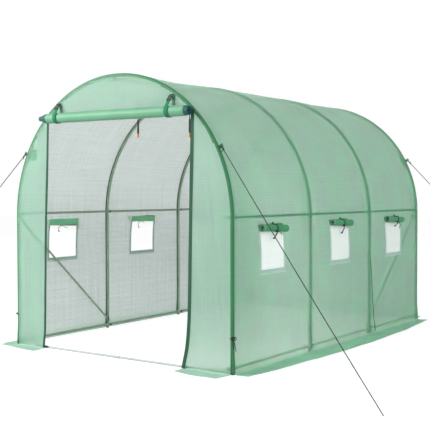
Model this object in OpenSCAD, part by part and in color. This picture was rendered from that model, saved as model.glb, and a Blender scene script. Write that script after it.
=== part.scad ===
// Walk-in polytunnel greenhouse: a frame of tube hoops, rails and braces under a fitted film cover.
// The cover has a rolled-up door, netted windows with rolled-up flaps, ground skirts and guy ropes.
// Millimetres. X runs across the tunnel, Y along it with the door end at -Y, and Z up from the ground.

/* [Tunnel] */
// Width over the hoops
tunnel_w = 2000; // [1900:10:2400]
// Length over the end hoops
tunnel_l = 3000; // [2600:10:3900]
// Height over the hoops
tunnel_h = 1985; // [1940:5:2300]

/* [Frame] */
// Outside diameter of a hoop tube
hoop_d = 25; // [20:0.5:32]
// Wall of every frame tube
tube_wall = 0.8; // [0.6:0.1:2]
// Outside diameter of the hip and ridge rails
rail_d = 16; // [12:0.5:22]
// Rise of the hip rails above the tops of the hoop legs
hip_rail_rise = 15; // [0:1:80]
// Outside diameter of the base rails
base_rail_d = 19; // [14:0.5:25]
// Height of the base rails above the ground
base_rail_z = 32; // [30:1:60]
// Outside diameter of a diagonal brace
brace_d = 16; // [12:0.5:22]
// Clear distance between a brace end and the rail beside it
brace_end_gap = 20; // [14:1:60]
// Outside diameter of the ground bar across each end
sill_d = 13; // [10:0.5:14]
// Outside diameter of the sleeve that joins the two halves of a ground bar
sill_sleeve_d = 17; // [16:0.5:20]
// Length of that sleeve
sill_sleeve_l = 60; // [40:1:120]

/* [Cover] */
// Thickness of the cover film
cover_t = 2; // [1:0.1:3]
// Thickness of the ground skirts
skirt_t = 2; // [1:0.1:4]
// Width of a side skirt at the middle of its length
side_skirt_w = 190; // [140:1:260]
// Width of a side skirt at its ends
side_skirt_end_w = 100; // [60:1:135]
// Width of the end skirts
end_skirt_w = 150; // [100:1:220]
// Reach of the front left skirt beyond the side wall, at its corner
left_corner_flare = 96; // [0:1:120]
// Width of the front left skirt at that corner
left_corner_w = 82; // [60:1:150]
// Inset of the other end skirt corners from the side wall
corner_inset = 28; // [0:1:80]
// Drift of the front right skirt hem towards the door
door_hem_drift = 50; // [0:1:80]

/* [Door] */
// Width of the door panel
door_w = 1360; // [1100:10:1400]
// Distance from the upper corners of the door to the edge of the arch
door_corner_gap = 22.5; // [15:0.5:40]
// Width of the zip tape on each side of the door
zip_w = 15; // [8:0.5:24]
// Thickness of the zip tape
zip_t = 5; // [3:0.5:8]
// Outside diameter of the rolled-up door
door_roll_d = 76; // [64:1:90]
// Reach of the rolled-up door past each side of the doorway
door_roll_over = 8; // [0:1:20]
// Diameter of the open core of the roll
door_core_d = 28; // [16:1:36]
// Turns in the roll
door_turns = 3; // [2:1:3]
// Distance of each strap from the side of the doorway
strap_inset = 160; // [130:5:300]
// Width of a strap
strap_w = 26; // [16:1:40]
// Thickness of a strap
strap_t = 2; // [1:0.1:3]
// Distance of the straps' upper ends below the front hoop
strap_head_gap = 4; // [2:1:20]
// Width of a strap buckle
buckle_w = 34; // [28:1:48]
// Length of a strap buckle
buckle_l = 46; // [36:1:60]
// Thickness of a strap buckle
buckle_t = 8; // [5:0.5:12]

/* [Zip pulls] */
// Diameter of a pull's sleeve
pull_d = 7; // [5:0.5:10]
// Length of a pull's sleeve
pull_l = 74; // [40:1:110]
// Length of the grip at the end of a pull
grip_l = 30; // [18:1:40]
// Diameter of that grip
grip_d = 9; // [7.5:0.5:12]
// Distance of the inner pull from the middle of the door
inner_pull_x = 215; // [0:5:450]
// Height of the inner pull's tab above the foot of the panel over the door
inner_pull_rise = 150; // [80:5:180]

/* [Windows] */
// Width of a window
window_w = 300; // [220:5:420]
// Height of a window
window_h = 300; // [200:5:320]
// Distance of the window heads below the tops of the hoop legs
window_head = 45; // [40:1:120]
// Distance of the windows from the middles of their bays, less than 0 towards the door
window_shift = -25; // [-40:1:40]
// Width of the tape frame round a window
frame_w = 25; // [15:1:40]
// Thickness of the tape frame
frame_t = 1.5; // [1:0.1:3]
// Thickness of the window net
net_t = 1; // [0.6:0.1:2]
// Lap of the net on the cover round a window
net_lap = 18; // [10:1:30]
// Outside diameter of a rolled-up window flap
flap_roll_d = 52; // [44:1:64]
// Length of a rolled-up window flap
flap_roll_l = 320; // [280:2:440]
// Diameter of the open core of that roll
flap_core_d = 20; // [12:1:22]
// Turns in that roll
flap_turns = 2; // [1:1:2]
// Drop of the roll's middle below the top of its window
flap_drop = 22; // [0:1:28]
// Thickness of the rolled film
flap_t = 3; // [2:0.1:3.5]

/* [Guy ropes] */
// Diameter of a guy rope
rope_d = 4; // [3:0.1:6]
// Angle round the hoop at which the ropes are tied, up from level
guy_angle = 27.5; // [20:0.5:45]
// Distance of the rope ends from the side wall
guy_out = 1200; // [800:10:1500]
// Distance of the rope ends beyond the tunnel's ends
guy_fore = 385; // [200:5:700]
// Radius of the eye at each end of a rope, at the middle of the rope
eye_r = 14; // [12.5:0.5:20]
// Width of a webbing tab
tab_w = 24; // [21:0.5:26]
// Thickness of a webbing tab
tab_t = 3; // [2:0.1:4]
// Height of the hole in a tab above the cover
tab_hole_h = 15; // [14.5:0.5:24]
// Diameter of the hole in a tab
tab_hole_d = 10; // [8:0.5:11]

/* [Hidden] */

$fn = 64;
// Steps round the wide arcs of the hoops and the cover, and round the bowed hems
arc_fn = 180;
hem_fn = 1440;
bays = 3;
left = -1;
right = 1;
front = -1;
rear = 1;
// Gap between pieces that seat on each other along curved faces
seat = 0.3;
// Gap between the frame tubes and the cover
cover_gap = 0.5;
// Points round one turn of a rolled sheet
turn_steps = 20;
// Depth of a cut that only has to pass right through
through = 100;

// The hoops stand on straight legs and close in a half circle
hoop_r = (tunnel_w - hoop_d) / 2;
leg_h = tunnel_h - tunnel_w / 2;
end_hoop_y = (tunnel_l - hoop_d) / 2;
function hoop_y(i) = (2 * i / bays - 1) * end_hoop_y;
function bay_y(i) = (hoop_y(i) + hoop_y(i + 1)) / 2;
function window_y(i) = bay_y(i) + window_shift;

// Rails and braces lie against the inner side of the hoops
rail_r = hoop_r - (hoop_d + rail_d) / 2 - seat;
hip_rail_z = leg_h + hip_rail_rise;
hip_rail_x = sqrt(rail_r * rail_r - hip_rail_rise * hip_rail_rise);
base_rail_x = hoop_r - (hoop_d + base_rail_d) / 2 - seat;
brace_x = hoop_r - (hoop_d + brace_d) / 2 - seat;
brace_top_z = leg_h - brace_end_gap;
brace_foot_z = base_rail_z + base_rail_d / 2 + brace_end_gap;
sill_l = 2 * hoop_r - hoop_d - 2 * seat;

// Faces of the cover
wall_in = tunnel_w / 2 + cover_gap;
wall_out = wall_in + cover_t;
end_in = tunnel_l / 2 + cover_gap;
end_out = end_in + cover_t;

// Windows and their flaps
window_top = leg_h - window_head;
window_z = window_top - window_h;
frame_out = wall_out + frame_t;
flap_roll_z = window_top - flap_drop;
flap_roll_x = frame_out + seat + flap_roll_d / 2;
flap_tail = flap_drop + frame_w;

// The door reaches up into the arch, and its roll hangs in front of the panel over it
door_corner_x = door_w / 2 + door_corner_gap;
door_h = leg_h + sqrt(wall_out * wall_out - door_corner_x * door_corner_x);
door_roll_l = door_w + 2 * door_roll_over;
door_roll_y = -end_out - seat - door_roll_d / 2;
door_lap = 30;
strap_r = door_roll_d / 2 + seat + strap_t / 2;
strap_sewn_y = -end_out - strap_t / 2;
strap_behind_y = -end_in + strap_t / 2;
strap_turn_drop = 12;
strap_x = door_w / 2 - strap_inset;
hoop_in_r = hoop_r - hoop_d / 2;
strap_reach = strap_x + strap_w / 2;
strap_top_z = leg_h + sqrt(hoop_in_r * hoop_in_r - strap_reach * strap_reach) - strap_head_gap;
zip_top_z = door_h - door_lap;

// The zip pulls end level with each other
pull_tab = 18;
pull_cord = 4;
pull_top_z = zip_top_z - pull_tab - pull_cord;
pull_end_z = pull_top_z - pull_l - grip_l;

// Film colours and tube colours
film_green = [0.62, 0.80, 0.69];
flap_green = [0.20, 0.55, 0.36];
strap_green = [0.08, 0.45, 0.28];
zip_green = [0.10, 0.34, 0.22];
tube_green = [0.36, 0.47, 0.38];
bar_grey = [0.86, 0.87, 0.86];
net_white = [0.90, 0.93, 0.92];
cord_black = [0.08, 0.08, 0.08];

// Unit vector along v
function unit(v) = v / norm(v);
// Direction square to the path at point k
function path_normal(path, k) =
    let (a = path[max(k - 1, 0)], b = path[min(k + 1, len(path) - 1)], d = unit(b - a))
    [-d[1], d[0]];
// Outline of a band of thickness t along a path
function ribbon(path, t) = concat(
    [for (k = [0:len(path) - 1]) path[k] + path_normal(path, k) * t / 2],
    [for (k = [len(path) - 1:-1:0]) path[k] - path_normal(path, k) * t / 2]
);
// Path of a rolled sheet: it winds out from the core and leaves upwards on the side of its wall
function roll_path(r_core, r_out, turns, tail) = concat(
    [for (k = [0:turns * turn_steps])
        let (s = k / (turns * turn_steps), a = 180 + 360 * turns * (1 - s))
        (r_core + (r_out - r_core) * s) * [cos(a), sin(a)]],
    [[-r_out, tail]]
);
// Angle at which a line from point p touches a circle of radius r about point c, on the side given
function tangent_angle(p, c, r, side) =
    let (v = p - c)
    atan2(v[1], v[0]) + side * acos(r / norm(v));

// A length of tube standing on its end
module tube(d, l) {
    difference() {
        cylinder(d = d, h = l);
        translate([0, 0, -through]) cylinder(d = d - 2 * tube_wall, h = l + 2 * through);
    }
}

// Turns a shape drawn in X and Z, and extruded along its own Z, to run along -Y
module facing_front() {
    rotate([90, 0, 0]) children();
}

// Both legs of one hoop
module hoop_legs(i) {
    color(tube_green)
    for (side = [left, right])
        translate([side * hoop_r, hoop_y(i), 0]) tube(hoop_d, leg_h);
}

// The half-round top of one hoop
module hoop_arch(i) {
    color(tube_green)
    translate([0, hoop_y(i), leg_h]) facing_front()
    rotate_extrude(angle = 180, $fn = arc_fn)
    translate([hoop_r, 0]) difference() {
        circle(d = hoop_d, $fn = 32);
        circle(d = hoop_d - 2 * tube_wall, $fn = 32);
    }
}

// A rail along the whole tunnel
module long_rail(x, z, d) {
    color(tube_green)
    translate([x, -tunnel_l / 2, z]) rotate([-90, 0, 0]) tube(d, tunnel_l);
}

// The bar on the ground across one end, in two halves with a sleeve over the join
module ground_bar(end) {
    color(bar_grey)
    translate([0, end * end_hoop_y, sill_sleeve_d / 2]) rotate([0, 90, 0])
    difference() {
        union() {
            translate([0, 0, -sill_l / 2]) cylinder(d = sill_d, h = sill_l);
            translate([0, 0, -sill_sleeve_l / 2]) cylinder(d = sill_sleeve_d, h = sill_sleeve_l);
        }
        translate([0, 0, -tunnel_w]) cylinder(d = sill_d - 2 * tube_wall, h = 2 * tunnel_w);
    }
}

// A diagonal from the hip of an end hoop to the foot of the next hoop
module brace(side, end) {
    run = 2 * end_hoop_y / bays;
    rise = brace_top_z - brace_foot_z;
    color(tube_green)
    translate([side * brace_x, end * end_hoop_y, brace_top_z])
    rotate([end * (180 - atan2(run, rise)), 0, 0])
    tube(brace_d, norm([run, rise]));
}

// The half-round roof sheet
module roof_cover() {
    color(film_green)
    translate([0, end_in, leg_h]) facing_front()
    linear_extrude(2 * end_in) difference() {
        circle(wall_out, $fn = arc_fn);
        circle(wall_in, $fn = arc_fn);
        translate([-2 * wall_out, -2 * wall_out]) square([4 * wall_out, 2 * wall_out]);
    }
}

// A box on one side wall at each window's middle, from face to face across the wall
module at_windows(side, x0, x1, w, z0, z1) {
    for (i = [0:bays - 1])
        translate([side > 0 ? x0 : -x1, window_y(i) - w / 2, z0]) cube([x1 - x0, w, z1 - z0]);
}

// One side wall with its window openings
module wall_cover(side) {
    color(film_green)
    difference() {
        translate([side > 0 ? wall_in : -wall_out, -end_in, skirt_t])
        cube([cover_t, 2 * end_in, leg_h - skirt_t]);
        at_windows(side, wall_in - through, wall_out + through, window_w, window_z, window_top);
    }
}

// Outline of an end, in X and Z
module end_outline() {
    translate([-wall_out, skirt_t]) square([2 * wall_out, leg_h - skirt_t]);
    intersection() {
        translate([0, leg_h]) circle(wall_out, $fn = arc_fn);
        translate([-wall_out, leg_h]) square([2 * wall_out, 2 * wall_out]);
    }
}

// The end sheet between the corner hoop and one side of the door
module front_side_panel(side) {
    reach = wall_out - door_w / 2;
    color(film_green)
    translate([0, -end_in, 0]) facing_front()
    linear_extrude(cover_t) intersection() {
        end_outline();
        translate([side > 0 ? door_w / 2 : -wall_out, 0]) square([reach, door_h]);
    }
}

// The end sheet over the door
module front_top_panel() {
    color(film_green)
    translate([0, -end_in, 0]) facing_front()
    linear_extrude(cover_t) intersection() {
        end_outline();
        translate([-wall_out, door_h]) square([2 * wall_out, tunnel_h]);
    }
}

// The closed rear end
module rear_end_panel() {
    color(film_green)
    translate([0, end_out, 0]) facing_front()
    linear_extrude(cover_t) end_outline();
}

// A side skirt on the ground, with a bowed hem
module side_skirt(side) {
    bow = side_skirt_w - side_skirt_end_w;
    hem_r = (end_in * end_in + bow * bow) / (2 * bow);
    color(film_green)
    linear_extrude(skirt_t) intersection() {
        translate([side * (wall_out + side_skirt_w - hem_r), 0]) circle(hem_r, $fn = hem_fn);
        translate([side > 0 ? wall_in : -wall_in - 2 * side_skirt_w, -end_in])
        square([2 * side_skirt_w, 2 * end_in]);
    }
}

// The front skirt left of the door, which spreads out past the corner
module front_left_skirt() {
    color(film_green)
    linear_extrude(skirt_t) polygon([
        [-door_w / 2, -end_in],
        [-wall_out, -end_in],
        [-wall_out - left_corner_flare, -end_in - left_corner_w],
        [-door_w / 2, -end_in - end_skirt_w]
    ]);
}

// The front skirt right of the door, with its hem drawn towards the door
module front_right_skirt() {
    color(film_green)
    linear_extrude(skirt_t) polygon([
        [door_w / 2, -end_in],
        [door_w / 2 - door_hem_drift, -end_in - end_skirt_w],
        [wall_out - corner_inset, -end_in - end_skirt_w],
        [wall_out, -end_in]
    ]);
}

// The skirt along the rear end
module rear_skirt() {
    color(film_green)
    linear_extrude(skirt_t) polygon([
        [-wall_out, end_in],
        [wall_out, end_in],
        [wall_out - corner_inset, end_in + end_skirt_w],
        [corner_inset - wall_out, end_in + end_skirt_w]
    ]);
}

// The nets on the inner face of one wall
module window_nets(side) {
    color(net_white)
    at_windows(side, wall_in - net_t, wall_in,
        window_w + 2 * net_lap, window_z - net_lap, window_top + net_lap);
}

// The tape frames on the outer face of one wall
module window_frames(side) {
    color(net_white)
    difference() {
        at_windows(side, wall_out, frame_out,
            window_w + 2 * frame_w, window_z - frame_w, window_top + frame_w);
        at_windows(side, wall_in - through, frame_out + through, window_w, window_z, window_top);
    }
}

// The flaps of one wall, rolled up over their windows
module window_rolls(side) {
    path = roll_path(flap_core_d / 2, (flap_roll_d - flap_t) / 2, flap_turns, flap_tail);
    color(flap_green)
    for (i = [0:bays - 1])
        mirror([side > 0 ? 0 : 1, 0, 0])
        translate([flap_roll_x, window_y(i) + flap_roll_l / 2, flap_roll_z]) facing_front()
        linear_extrude(flap_roll_l) polygon(ribbon(path, flap_t));
}

// The rolled-up door, sewn on under the panel over it
module door_roll() {
    path = roll_path(door_core_d / 2, (door_roll_d - flap_t) / 2, door_turns, door_lap);
    color(film_green)
    translate([-door_roll_l / 2, door_roll_y, door_h]) rotate([90, 0, 90])
    linear_extrude(door_roll_l) mirror([1, 0]) polygon(ribbon(path, flap_t));
}

// Path of a strap, in Y and Z: down in front of the roll, under it, and up behind the panel
strap_middle = [door_roll_y, door_h];
strap_front_top = [strap_sewn_y, strap_top_z];
strap_back_foot = [strap_behind_y, door_h - strap_turn_drop];
strap_front_angle = tangent_angle(strap_front_top, strap_middle, strap_r, 1);
strap_back_angle = tangent_angle(strap_back_foot, strap_middle, strap_r, -1) + 360;
strap_steps = 12;
strap_path = concat(
    [strap_front_top],
    [for (k = [0:strap_steps])
        let (a = strap_front_angle + (strap_back_angle - strap_front_angle) * k / strap_steps)
        strap_middle + strap_r * [cos(a), sin(a)]],
    [strap_back_foot, [strap_behind_y, strap_top_z]]
);

// Sets a profile drawn in Y and Z to run along X, centred on each strap
module at_straps(w) {
    for (side = [left, right])
        translate([side * strap_x - w / 2, 0, 0]) rotate([90, 0, 90]) linear_extrude(w) children();
}

// The two straps that hold the roll
module door_straps() {
    color(strap_green)
    at_straps(strap_w) polygon(ribbon(strap_path, strap_t));
}

// The buckles on the front of the straps, near the top
module strap_buckles() {
    along = unit(strap_path[1] - strap_path[0]);
    out = [along[1], -along[0]];
    start = strap_path[0] + along * buckle_l / 4 - sign(out[0]) * out * (strap_t / 2 + seat);
    color(cord_black)
    at_straps(buckle_w) polygon([
        start,
        start + along * buckle_l,
        start + along * buckle_l * 0.85 - sign(out[0]) * out * buckle_t,
        start + along * buckle_l * 0.15 - sign(out[0]) * out * buckle_t
    ]);
}

// The zip tapes on both sides of the door
module door_zips() {
    color(zip_green)
    for (side = [left, right])
        translate([side > 0 ? door_w / 2 - zip_w : -door_w / 2, -(end_in + end_out + zip_t) / 2, skirt_t])
        cube([zip_w, zip_t, zip_top_z - skirt_t]);
}

// A pull that hangs from a small tab at height z: a thin cord, a sleeve and a grip
module zip_pull(x, z) {
    color(cord_black)
    translate([x, -end_in + grip_d / 2 + seat, 0]) {
        translate([0, 0, pull_end_z]) cylinder(d = grip_d, h = grip_l);
        translate([0, 0, pull_top_z - pull_l]) cylinder(d = pull_d, h = pull_l);
        translate([0, 0, pull_top_z]) cylinder(d = pull_d / 2, h = z - pull_top_z);
        translate([-pull_tab / 2, -grip_d / 2 - seat, z]) cube([pull_tab, grip_d, pull_tab]);
    }
}

// One pull at the head of the right zip and one inside the panel over the door
module zip_pulls() {
    zip_pull(door_w / 2 - zip_w - pull_tab / 2, zip_top_z - pull_tab);
    zip_pull(inner_pull_x, door_h + inner_pull_rise);
}

// Middle of the hole in the tab of one rope
function tab_hole(side, end) =
    let (r = wall_out + tab_hole_h)
    [side * r * cos(guy_angle), end * end_hoop_y, leg_h + r * sin(guy_angle)];

// The webbing tabs on the cover, over the end hoops
module guy_tabs() {
    color(strap_green)
    for (side = [left, right], end = [front, rear])
        mirror([side > 0 ? 0 : 1, 0, 0])
        translate([0, end * end_hoop_y + tab_t / 2, leg_h]) facing_front()
        rotate(guy_angle) linear_extrude(tab_t) difference() {
            union() {
                translate([wall_out, -tab_w / 2]) square([tab_hole_h, tab_w]);
                translate([wall_out + tab_hole_h, 0]) circle(d = tab_w);
            }
            translate([wall_out + tab_hole_h, 0]) circle(d = tab_hole_d);
        }
}

// An eye of rope about the X axis
module rope_eye() {
    rotate([0, 90, 0]) rotate_extrude() translate([eye_r, 0]) circle(d = rope_d);
}

// A taut rope from the hole in its tab to an eye that stands on the ground
module guy_rope(side, end) {
    hole = tab_hole(side, end);
    peg = [side * (tunnel_w / 2 + guy_out), end * (tunnel_l / 2 + guy_fore), 0];
    down = unit(peg - hole);
    across = unit([0, 1, 0] - down[1] * down);
    turn = cross(across, down);
    start = hole + down * ((tab_hole_d - rope_d) / 2 - seat);
    eye_lift = eye_r * norm([down[2], across[2]]) + rope_d / 2;
    reach = norm(peg - start) - eye_lift / abs(down[2]);
    color(cord_black)
    multmatrix([
        [turn[0], across[0], down[0], start[0]],
        [turn[1], across[1], down[1], start[1]],
        [turn[2], across[2], down[2], start[2]],
        [0, 0, 0, 1]
    ]) {
        translate([0, 0, eye_r]) rope_eye();
        translate([0, 0, 2 * eye_r]) cylinder(d = rope_d, h = reach - 3 * eye_r);
        translate([0, 0, reach]) rope_eye();
    }
}

hoop_legs(0);  // front_hoop_legs
hoop_legs(1);  // second_hoop_legs
hoop_legs(2);  // third_hoop_legs
hoop_legs(3);  // rear_hoop_legs
hoop_arch(0);  // front_hoop_arch
hoop_arch(1);  // second_hoop_arch
hoop_arch(2);  // third_hoop_arch
hoop_arch(3);  // rear_hoop_arch
long_rail(-hip_rail_x, hip_rail_z, rail_d);  // left_hip_rail
long_rail(hip_rail_x, hip_rail_z, rail_d);  // right_hip_rail
long_rail(0, leg_h + rail_r, rail_d);  // ridge_rail
long_rail(-base_rail_x, base_rail_z, base_rail_d);  // left_base_rail
long_rail(base_rail_x, base_rail_z, base_rail_d);  // right_base_rail
ground_bar(front);  // front_ground_bar
ground_bar(rear);  // rear_ground_bar
brace(left, front);  // left_front_brace
brace(right, rear);  // right_rear_brace
roof_cover();
wall_cover(left);  // left_wall_cover
wall_cover(right);  // right_wall_cover
front_side_panel(left);  // front_left_panel
front_side_panel(right);  // front_right_panel
front_top_panel();
rear_end_panel();
side_skirt(left);  // left_skirt
side_skirt(right);  // right_skirt
front_left_skirt();
front_right_skirt();
rear_skirt();
window_nets(left);  // left_window_nets
window_nets(right);  // right_window_nets
window_frames(left);  // left_window_frames
window_frames(right);  // right_window_frames
window_rolls(left);  // left_window_rolls
window_rolls(right);  // right_window_rolls
door_roll();
door_straps();
strap_buckles();
door_zips();
zip_pulls();
guy_tabs();
guy_rope(left, front);  // front_left_guy
guy_rope(right, front);  // front_right_guy
guy_rope(left, rear);  // rear_left_guy
guy_rope(right, rear);  // rear_right_guy
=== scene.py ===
import math

import bpy
from mathutils import Matrix, Vector, noise


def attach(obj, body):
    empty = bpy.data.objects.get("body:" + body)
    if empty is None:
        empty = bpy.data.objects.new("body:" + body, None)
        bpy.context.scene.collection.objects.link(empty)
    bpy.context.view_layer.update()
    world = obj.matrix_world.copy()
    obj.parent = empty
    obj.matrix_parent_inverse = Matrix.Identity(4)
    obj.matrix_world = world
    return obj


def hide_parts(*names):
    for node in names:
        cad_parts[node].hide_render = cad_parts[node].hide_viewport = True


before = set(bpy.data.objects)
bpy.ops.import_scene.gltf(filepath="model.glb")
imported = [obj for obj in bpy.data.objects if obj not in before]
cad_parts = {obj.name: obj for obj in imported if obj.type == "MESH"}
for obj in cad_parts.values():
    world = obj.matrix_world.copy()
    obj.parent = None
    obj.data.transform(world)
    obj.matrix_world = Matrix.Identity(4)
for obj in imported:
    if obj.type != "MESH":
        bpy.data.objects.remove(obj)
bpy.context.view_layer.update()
scene = bpy.context.scene

# Sizes, in metres
HOOP_R = 0.9875  # centre line of the half-round hoops
TUBE_R = 0.0125
TUBE_WALL = 0.0009
LEG = 0.985
END = 1.4875  # the two end hoops stand at -END and +END
HOOPS = (-END, -END / 3, END / 3, END)
BAYS = (-2 * END / 3, 0.0, 2 * END / 3)
RAIL_R = 0.008
RAIL_REACH = 0.9667  # rails run against the inside of the hoops
HIP_Z = 1.0
HIP_X = 0.96658
RIDGE_Z = LEG + RAIL_REACH
BASE_R = 0.0095
BASE_X = 0.9652
BASE_Z = 0.032
RAIL_END = 1.5
RAIL_JOINTS = (0.3384, 0.6716)
BRACE_TOP = 0.965
BRACE_FOOT = 0.0615
BAR_R = 0.0065
BAR_Z = 0.0085
BAR_END = 0.9747
SLEEVE_R = 0.0085
SLEEVE_WALL = 0.0018
SLEEVE_END = 0.03

THIN = 0.0008  # a single loose layer of film
SKIN = 0.013  # the film's inner face, from a tube's centre line
FILM = 0.0012
ARC = HOOP_R * math.pi / 2
ROUND = SKIN * math.pi / 2  # film turned round an end hoop
FOLD = 0.010  # radius of the turn from wall to skirt
GROUND = 0.0004
SKIRT_MID = 0.19
SKIRT_END = 0.10
WALL_FLARE = 0.008  # how far the film leans out at its foot, and over which height
WALL_FLARE_TOP = 0.16
SKIRT_FLARE = 0.010
SKIRT_FLARE_TOP = 0.14
FRONT = -END - SKIN

DOOR_TOP = 1.7002
CORNER = HOOP_R * math.acos((DOOR_TOP - LEG) / HOOP_R)
JAMB_LEFT = ((0.0, -0.694), (0.35, -0.686), (0.95, -0.674), (1.67, -0.648), (1.75, -0.645))
JAMB_RIGHT = [(z / 50, 0.6365 + 0.0243 * z / 50 - 0.030 * max(0.0, 1 - z / 19) ** 2) for z in range(88)]

WIN_SHIFT = -0.025
WINDOWS = tuple(bay + WIN_SHIFT for bay in BAYS)
WIN_HALF = 0.15
WIN_LOW = 0.64
WIN_TOP = 0.94
SIDES = ((-1, "left"), (1, "right"))
UP = Vector((0, 0, 1))


# Small tools
def evenly(start, stop, count):
    """The ends of a count of equal steps."""
    return [start + (stop - start) * k / count for k in range(count + 1)]


def spaced(keys, step):
    """Stations from the first key to the last, about a step apart, with every key among them."""
    out = [keys[0]]
    for a, b in zip(keys, keys[1:]):
        out += evenly(a, b, max(1, round((b - a) / step)))[1:]
    return out


def between(table, at):
    """The value at one place of a table of (place, value), straight between its rows."""
    if at <= table[0][0]:
        return table[0][1]
    for (a, p), (b, q) in zip(table, table[1:]):
        if at <= b:
            return p + (q - p) * (at - a) / (b - a)
    return table[-1][1]


def ripple(a, b, seed):
    """Smooth chance from -1 to 1 over a sheet."""
    return noise.noise(Vector((a, b, seed * 7.31)))


def soft_step(low, high, x):
    t = min(1.0, max(0.0, (x - low) / (high - low)))
    return t * t * (3 - 2 * t)


def deselect():
    bpy.ops.object.select_all(action="DESELECT")


def make_active(piece):
    deselect()
    piece.select_set(True)
    bpy.context.view_layer.objects.active = piece


def named(name):
    piece = bpy.context.object
    piece.name = name
    piece.data.name = name
    return piece


def settle(piece):
    """Puts a piece's place into its mesh."""
    make_active(piece)
    bpy.ops.object.transform_apply(location=True, rotation=True, scale=True)
    return piece


def modifier(piece, kind, **values):
    make_active(piece)
    bpy.ops.object.modifier_add(type=kind)
    m = piece.modifiers[-1]
    for key, value in values.items():
        setattr(m, key, value)
    bpy.ops.object.modifier_apply(modifier=m.name)


def edit(piece, select="SELECT"):
    make_active(piece)
    bpy.ops.object.mode_set(mode="EDIT")
    bpy.ops.mesh.select_all(action=select)


def leave_edit():
    bpy.ops.object.mode_set(mode="OBJECT")


def pick_faces(piece, wanted):
    """Selects the wanted faces, in face mode."""
    edit(piece, "DESELECT")
    bpy.ops.mesh.select_mode(type="FACE")
    leave_edit()
    for face in piece.data.polygons:
        face.select = bool(wanted(face))
    bpy.ops.object.mode_set(mode="EDIT")


def outward(piece):
    edit(piece)
    bpy.ops.mesh.remove_doubles(threshold=0.00002)
    bpy.ops.mesh.normals_make_consistent(inside=False)
    leave_edit()


def smooth(piece, degrees):
    make_active(piece)
    bpy.ops.object.shade_smooth_by_angle(angle=math.radians(degrees))


def copied(piece, matrix):
    """A copy with its own mesh, moved by a matrix."""
    twin = piece.copy()
    twin.data = piece.data.copy()
    scene.collection.objects.link(twin)
    twin.data.transform(matrix)
    return twin


def joined(pieces, name):
    deselect()
    for piece in pieces:
        piece.select_set(True)
    bpy.context.view_layer.objects.active = pieces[0]
    bpy.ops.object.join()
    return named(name)


def dressed(piece, slot, *materials):
    """Gives a piece its materials and its body; the slot is not used."""
    piece.data.materials.clear()
    for material in materials:
        piece.data.materials.append(material)
    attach(piece, "root")


def made(parts, name, slot, *materials):
    """Joins parts into one dressed piece."""
    piece = joined(parts, name)
    dressed(piece, slot, *materials)
    return piece


def net_of_threads(name, across, along, place):
    """A sheet laid out as a grid: one vertex for each pair of stations, with its map in metres."""
    deselect()
    nx, ny = len(across) - 1, len(along) - 1
    bpy.ops.mesh.primitive_grid_add(x_subdivisions=nx, y_subdivisions=ny, size=1)
    piece = named(name)
    mesh = piece.data
    cells = []
    for vert in mesh.vertices:
        cells.append((across[round((vert.co.x + 0.5) * nx)], along[round((vert.co.y + 0.5) * ny)]))
    for vert, cell in zip(mesh.vertices, cells):
        vert.co = place(*cell)
    layer = mesh.uv_layers[0].data
    for loop in mesh.loops:
        layer[loop.index].uv = cells[loop.vertex_index]
    mesh.update()
    return piece


def cut_away(piece, unwanted):
    """Deletes the faces whose middle on the map is unwanted."""

    def outside(face):
        layer = piece.data.uv_layers[0].data
        spots = [layer[k].uv for k in face.loop_indices]
        return unwanted(sum(s.x for s in spots) / len(spots), sum(s.y for s in spots) / len(spots))

    pick_faces(piece, outside)
    bpy.ops.mesh.delete(type="FACE")
    leave_edit()


def thicken(piece, thickness, facing, inner=1):
    """Gives a sheet its thickness towards the side that faces, with its own inner finish."""
    mesh = piece.data
    total = sum((f.normal.dot(facing(f.center)) * f.area for f in mesh.polygons), 0.0)
    if total < 0:
        mesh.flip_normals()
    finish = {"material_offset": inner, "material_offset_rim": 0}
    modifier(piece, "SOLIDIFY", thickness=thickness, offset=1.0, use_even_offset=False, **finish)
    smooth(piece, 60)


def fatten(piece, thickness, degrees=60):
    """Gives a sheet its thickness to both sides."""
    modifier(piece, "SOLIDIFY", thickness=thickness, offset=0.0)
    smooth(piece, degrees)


def cord_along(name, points, radius, sides=8):
    """A cord swept along points, capped, with a map that runs along it in metres."""
    rings = [Vector(p) for p in points]
    count = len(rings)
    verts, faces, maps = [], [], []
    side = None
    run = 0.0
    for k, p in enumerate(rings):
        ahead = (rings[min(k + 1, count - 1)] - rings[max(k - 1, 0)]).normalized()
        if side is None:
            side = ahead.orthogonal().normalized()
        side = (side - ahead * side.dot(ahead)).normalized()
        up = ahead.cross(side)
        if k:
            run += (p - rings[k - 1]).length
        for s in range(sides):
            turn = 2 * math.pi * s / sides
            verts.append(p + radius * (math.cos(turn) * side + math.sin(turn) * up))
            maps.append((s / sides, run))
    for k in range(count - 1):
        for s in range(sides):
            t = (s + 1) % sides
            faces.append((k * sides + s, k * sides + t, (k + 1) * sides + t, (k + 1) * sides + s))
    faces.append(tuple(reversed(range(sides))))
    faces.append(tuple((count - 1) * sides + s for s in range(sides)))
    mesh = bpy.data.meshes.new(name)
    mesh.from_pydata([tuple(v) for v in verts], [], faces)
    layer = mesh.uv_layers.new(name="UVMap").data
    for face in mesh.polygons:
        wraps = face.index < (count - 1) * sides and face.index % sides == sides - 1
        for k in face.loop_indices:
            vert = mesh.loops[k].vertex_index
            u, v = maps[vert]
            layer[k].uv = (1.0 if wraps and vert % sides == 0 else u, v)
    piece = bpy.data.objects.new(name, mesh)
    scene.collection.objects.link(piece)
    smooth(piece, 60)
    return piece


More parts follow.
